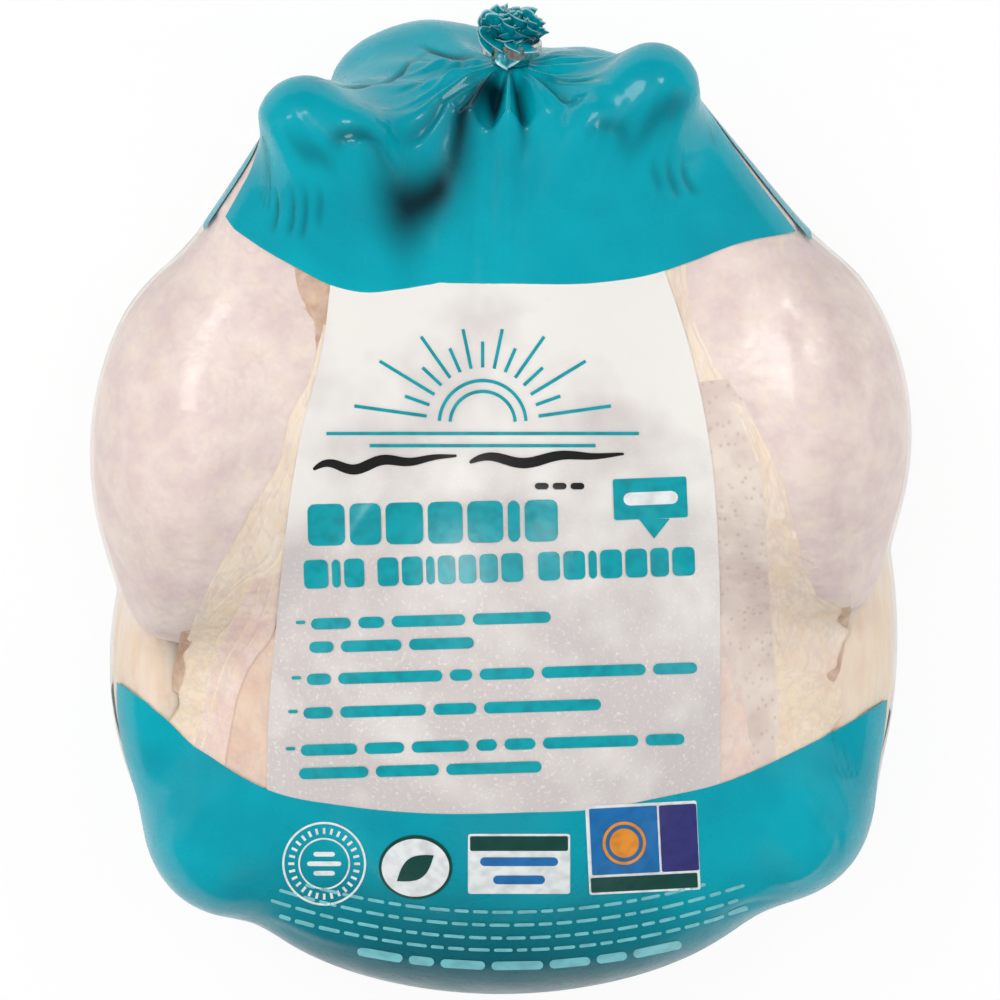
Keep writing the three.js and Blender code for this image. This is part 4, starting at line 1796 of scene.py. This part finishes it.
@dataclass
class Carcass:
    """The bird inside the film, part by part."""

    form: BagForm
    film_clearance: float = 0.55

    def part(self, flesh: Flesh, heart: tuple[float, float, float], rows: int, columns: int) -> Surface:
        """One part of the bird as a closed skin, seen from a heart of its own.

        Args:
            flesh: which part.
            heart: a point inside it.
            rows: rows of points from its tail end to its neck end.
            columns: points round it.

        Returns:
            The surface, kept inside the film.
        """
        fall = np.linspace(0.001, math.pi - 0.001, rows)[:, None]
        turn = (np.arange(columns) * TAU / columns)[None]
        way = (np.sin(fall) * np.cos(turn), np.cos(fall) + 0 * turn, np.sin(fall) * np.sin(turn))
        ways = np.stack(way, -1)
        middle = np.array(heart)
        reach = skin_reach(MASSES[flesh], middle, ways)
        _, from_pole, _ = self.form.angles(middle + reach[..., None] * ways)
        covered = 2.2 * smooth(43, 38, np.degrees(from_pole))
        reach = skin_reach(MASSES[flesh], middle, ways, covered)
        return Surface.from_grid(self.tucked(middle + reach[..., None] * ways), closed=True)

    def tucked(self, places: np.ndarray) -> np.ndarray:
        """Places moved in toward the heart wherever they would come too near the film.

        The clearance grows to three times its width near the clip.
        """
        turn, fall, distance = self.form.angles(places)
        clearance = self.film_clearance * (1 + 2 * smooth(50, 35, np.degrees(fall)))
        share = np.minimum(1, (self.form.reach(turn, fall) - clearance) / distance)
        inside = HEART + (places - HEART) * share[..., None]
        inside[..., 2] = np.maximum(inside[..., 2], self.film_clearance)
        return inside

    def patch(self, shape: Patch) -> Surface:
        """A piece of skin that lies against the film.

        Args:
            shape: its edges and relief.

        Returns:
            The surface.
        """
        rows, columns = shape.fineness
        along = np.linspace(0, 1, rows)[:, None]
        across = np.linspace(0, 1, columns)[None]
        first = path(shape.first, rows)
        second = path(shape.second, rows)
        first[:, 0] += shape.ragged[0] * ripple(first[:, 1], 0 * first[:, 1], 5.0, 1.3)
        second[:, 0] += shape.ragged[1] * ripple(second[:, 1], 0 * second[:, 1], 5.0, 2.1)
        places = first[:, None] + (second - first)[:, None] * across[..., None]
        rim = bell(across, 0.07) + bell(1 - across, 0.07) + bell(along, 0.04) + bell(1 - along, 0.04)
        depth = shape.depth + shape.rim * rim
        for k in range(shape.creases):
            line = (k + 1) / (shape.creases + 1) + 0.05 * np.sin(5 * along + 2.1 * k)
            depth = depth + 0.3 * bell(across - line, 0.022) * np.sin(math.pi * along) ** 0.5
        depth = depth + 0.1 * (1 + ripple(places[..., 0], places[..., 1], 7.0, 0.7))
        turn, fall = self.form.seen(places[..., 0], places[..., 1])
        return Surface.from_grid(self.form.film(turn, fall, -depth), flip=True)

    def build(self) -> list[bpy.types.Object]:
        """Makes the body, legs and wings, the skin and pad that lie against the film, and brown sheets of
        painted shade in the gaps.

        Returns:
            The new pieces.
        """
        pink = RawSkin("leg_skin", (247, 235, 230), (236, 219, 219), fat=(249, 236, 216), fat_share=0.3,
                       vein_share=0.12, pitch=9).make()
        pale = RawSkin("body_skin", (246, 226, 208), (236, 208, 190), vein_share=0.1).make()
        warm = RawSkin("wing_skin", (252, 240, 224), (244, 224, 204), fat_share=0.4, vein_share=0.1,
                       pitch=7, stretch=0.2).make()
        finishes = {
            Tone.LEG: pink,
            Tone.CREAM: RawSkin("fold_skin", (255, 244, 230), (250, 234, 216), fat_share=0.4, pitch=8,
                                stretch=0.4, rim_shade_share=0.22).make(),
            Tone.YELLOW: RawSkin("fat_skin", (254, 243, 224), (250, 234, 212), fat_share=0.4, pitch=6,
                                 rim_shade_share=0.3).make(),
            Tone.PINK: RawSkin("flap_skin", (251, 236, 228), (243, 220, 211), fat_share=0.4, pitch=8,
                               rim_shade_share=0.3).make(),
            Tone.ORANGE: RawSkin("breast_skin", (244, 224, 208), (236, 208, 190), pitch=12,
                                 rim_shade_share=0.3).make(),
            # painted shade: brownish skin for the sheets in the shadowed gaps and hollow
            Tone.BROWN: RawSkin("gap_shade_flesh", (226, 200, 178), (200, 166, 140), pitch=5).make(),
            Tone.PAD: PadSheet().make(),
        }
        parts = [
            ("body_skin", Flesh.BODY, (0, 0, 60), (200, 240), pale),
            ("leg_left", Flesh.LEG_LEFT, (-58, 42, 70), (220, 200), pink),
            ("leg_right", Flesh.LEG_RIGHT, (56, 46, 70), (220, 200), pink),
            ("wing_left", Flesh.WING_LEFT, (-72, -58, 49), (160, 160), warm),
            ("wing_right", Flesh.WING_RIGHT, (74, -55, 49), (160, 160), warm),
        ]
        pieces = []
        for name, flesh, heart, shape, skin in parts:
            pieces.append(self.part(flesh, heart, *shape).to_object(name, skin))
        for shape in PATCHES:
            pieces.append(self.patch(shape).to_object(shape.name, finishes[shape.tone]))
        return pieces


@dataclass
class Tuft:
    """The gathered end of the film: a stub through the clip that opens into frills."""

    form: BagForm
    columns: int = 420
    rows: int = 22

    def frill(self, frill: Frill) -> Surface:
        """One frill.

        At a share s of the way from the clip to the rim its radius is r + (R - r) s^0.8, and its
        height h s less a droop s^2 on the shown side. Waves that grow with s move it in and out,
        up and down, and sideways, so that they close into loops.

        Args:
            frill: its sizes.

        Returns:
            The surface.
        """
        share = np.linspace(0, 1, self.rows)[:, None]
        turn = np.linspace(0, TAU, self.columns, endpoint=False)[None]
        wave = frill.waves * turn + 1.1 * np.sin(3 * turn + frill.seed)
        wave = wave + 0.7 * np.sin(5 * turn + 2 * frill.seed)
        shown = bell(turn_gap(np.degrees(turn), 95), 42)
        size = frill.depth * share**1.1 * (1 + 0.35 * np.sin(2 * turn + 1.7 * frill.seed))
        radius = frill.foot + (frill.radius - frill.foot) * share**0.8 + size * np.cos(wave)
        radius = radius + 0.16 * frill.droop * share * shown
        height = frill.base + frill.height * share - frill.droop * share**2 * shown
        height = height + 0.8 * size * np.sin(wave)
        slide = 0.75 * size * np.sin(2 * wave)
        angle = turn + slide / np.maximum(radius, 1)
        outward = np.cos(angle)[..., None] * self.form.right + np.sin(angle)[..., None] * self.form.front
        foot = np.array(self.form.clip_foot)
        points = foot + radius[..., None] * outward + height[..., None] * self.form.pole
        return Surface.from_grid(points, closed=True)

    def build(self) -> list[bpy.types.Object]:
        """Makes the tuft.

        Returns:
            The new piece.
        """
        frills = Surface.joined([self.frill(frill) for frill in FRILLS])
        return [frills.to_object("ruffled_tuft", RuffledFilm().make())]


# Stage


def set_down(thing: bpy.types.Object, axes: list[np.ndarray], place: np.ndarray) -> None:
    """Turns an object, puts it in its place and links it to the scene.

    Args:
        thing: the object.
        axes: where its own three axes point.
        place: its place in millimetres.
    """
    matrix = np.eye(4)
    matrix[:3, :3] = np.stack(axes, -1)
    matrix[:3, 3] = place * MM
    thing.matrix_world = Matrix(matrix.tolist())
    bpy.context.scene.collection.objects.link(thing)


@dataclass
class Studio:
    """The pale floor, the soft lights and the camera."""

    form: BagForm

    def floor(self) -> None:
        """A wide pale floor just under the bag, brightened where the camera sees it."""
        span = 3000.0
        below = -0.05
        points = np.array([(-span, -span, below), (span, -span, below), (span, span, below),
                           (-span, span, below)])
        mesh = bpy.data.meshes.new("floor")
        mesh.from_pydata((points * MM).tolist(), [], [(0, 1, 2, 3)])
        nodes = Finish("floor_paper")
        paper = nodes.mixed(nodes.noise(25), linear((255, 255, 255)), linear((252, 252, 252)))
        shader = nodes.add("BsdfPrincipled", {"Base Color": paper, "Roughness": 0.9})
        glow = nodes.add("Emission", {"Color": linear((255, 255, 255)), "Strength": 1.0})
        seen = nodes.add("LightPath").outputs["Is Camera Ray"]
        share = nodes.maths("MULTIPLY", seen, 0.9)
        mix = nodes.add("MixShader", {0: share, 1: shader.outputs[0], 2: glow.outputs[0]})
        mesh.materials.append(nodes.done(mix))
        floor = bpy.data.objects.new("floor", mesh)
        bpy.context.scene.collection.objects.link(floor)

    def lamp(self, name: str, at: tuple[float, float, float], size: float, power: float,
             colour: tuple[float, float, float], mirrored: bool = True) -> None:
        """A square soft lamp that faces the bird.

        Args:
            name: the lamp's name.
            at: its place in millimetres.
            size: its side in millimetres.
            power: its power in watts.
            colour: its colour, linear.
            mirrored: whether glossy film shows it.
        """
        data = bpy.data.lights.new(name, "AREA")
        data.shape = "SQUARE"
        data.size = size * MM
        data.energy = power
        data.color = colour
        lamp = bpy.data.objects.new(name, data)
        place = np.array(at)
        back = unit(place - HEART)
        side = unit(np.cross(np.array([0.0, 1.0, 0.01]), back))
        lamp.visible_glossy = mirrored
        set_down(lamp, [side, np.cross(back, side), back], place)

    def camera(self) -> None:
        """The camera, looking down on the breast from the tilt toward the clip."""
        data = bpy.data.cameras.new("camera")
        data.sensor_width = SENSOR
        data.lens = SENSOR * CAMERA_DISTANCE / VIEW_WIDTH
        data.clip_end = 20
        camera = bpy.data.objects.new("camera", data)
        set_down(camera, [VIEW_RIGHT, VIEW_UP, TO_CAMERA], HEART + CAMERA_DISTANCE * TO_CAMERA)
        bpy.context.scene.camera = camera

    def build(self) -> None:
        """Sets up floor, lamps, surroundings and camera."""
        self.camera()
        self.floor()
        self.lamp("key", (-360, 540, 960), 420, 3.9, (1.0, 0.99, 0.97))
        self.lamp("second", (430, 700, 850), 200, 1.4, (1.0, 0.99, 0.98))
        self.lamp("top", (0, 300, 1170), 700, 3.7, (1.0, 1.0, 1.0), mirrored=False)
        self.lamp("left", (-950, -80, 300), 420, 2.5, (1.0, 0.99, 0.98), mirrored=False)
        self.lamp("right", (950, -80, 340), 420, 2.6, (0.99, 1.0, 1.0), mirrored=False)
        self.lamp("neck", (0, -820, 620), 600, 2.5, (1.0, 1.0, 1.0), mirrored=False)
        world = bpy.data.worlds.new("surroundings")
        world.use_nodes = True
        nodes = Nodes(world.node_tree)
        way = nodes.add("SeparateXYZ", {0: nodes.add("TexCoord").outputs["Generated"]}).outputs
        sideways = nodes.maths("MULTIPLY", nodes.maths("ABSOLUTE", way[0]), 0.16)
        upward = nodes.ranged(way[2], 0.0, 1.0, 0.0, 0.17)
        background = world.node_tree.nodes["Background"]
        background.inputs["Color"].default_value = (0.97, 0.98, 1.0, 1)
        total = nodes.maths("ADD", nodes.maths("ADD", sideways, upward), 0.06)
        world.node_tree.links.new(total, background.inputs["Strength"])
        bpy.context.scene.world = world
        bpy.context.scene.view_settings.view_transform = "Standard"


def main() -> None:
    """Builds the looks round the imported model."""
    logging.basicConfig(level=logging.INFO, format="%(name)s: %(message)s")
    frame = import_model()
    form = BagForm()
    log.info("film stretched")
    Studio(form).build()
    pieces = Film(form).build() + Print(form).build() + Carcass(form).build()
    for piece in pieces:
        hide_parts(BAG_NODE)
    for piece in Tuft(form).build():
        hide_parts(TUFT_NODE)
    clip = frame["nodes"][CLIP_NODE]
    clip.data.materials.clear()
    clip.data.materials.append(ClipMetal().make())
    log.info("all pieces made")


if __name__ == "__main__":
    main()
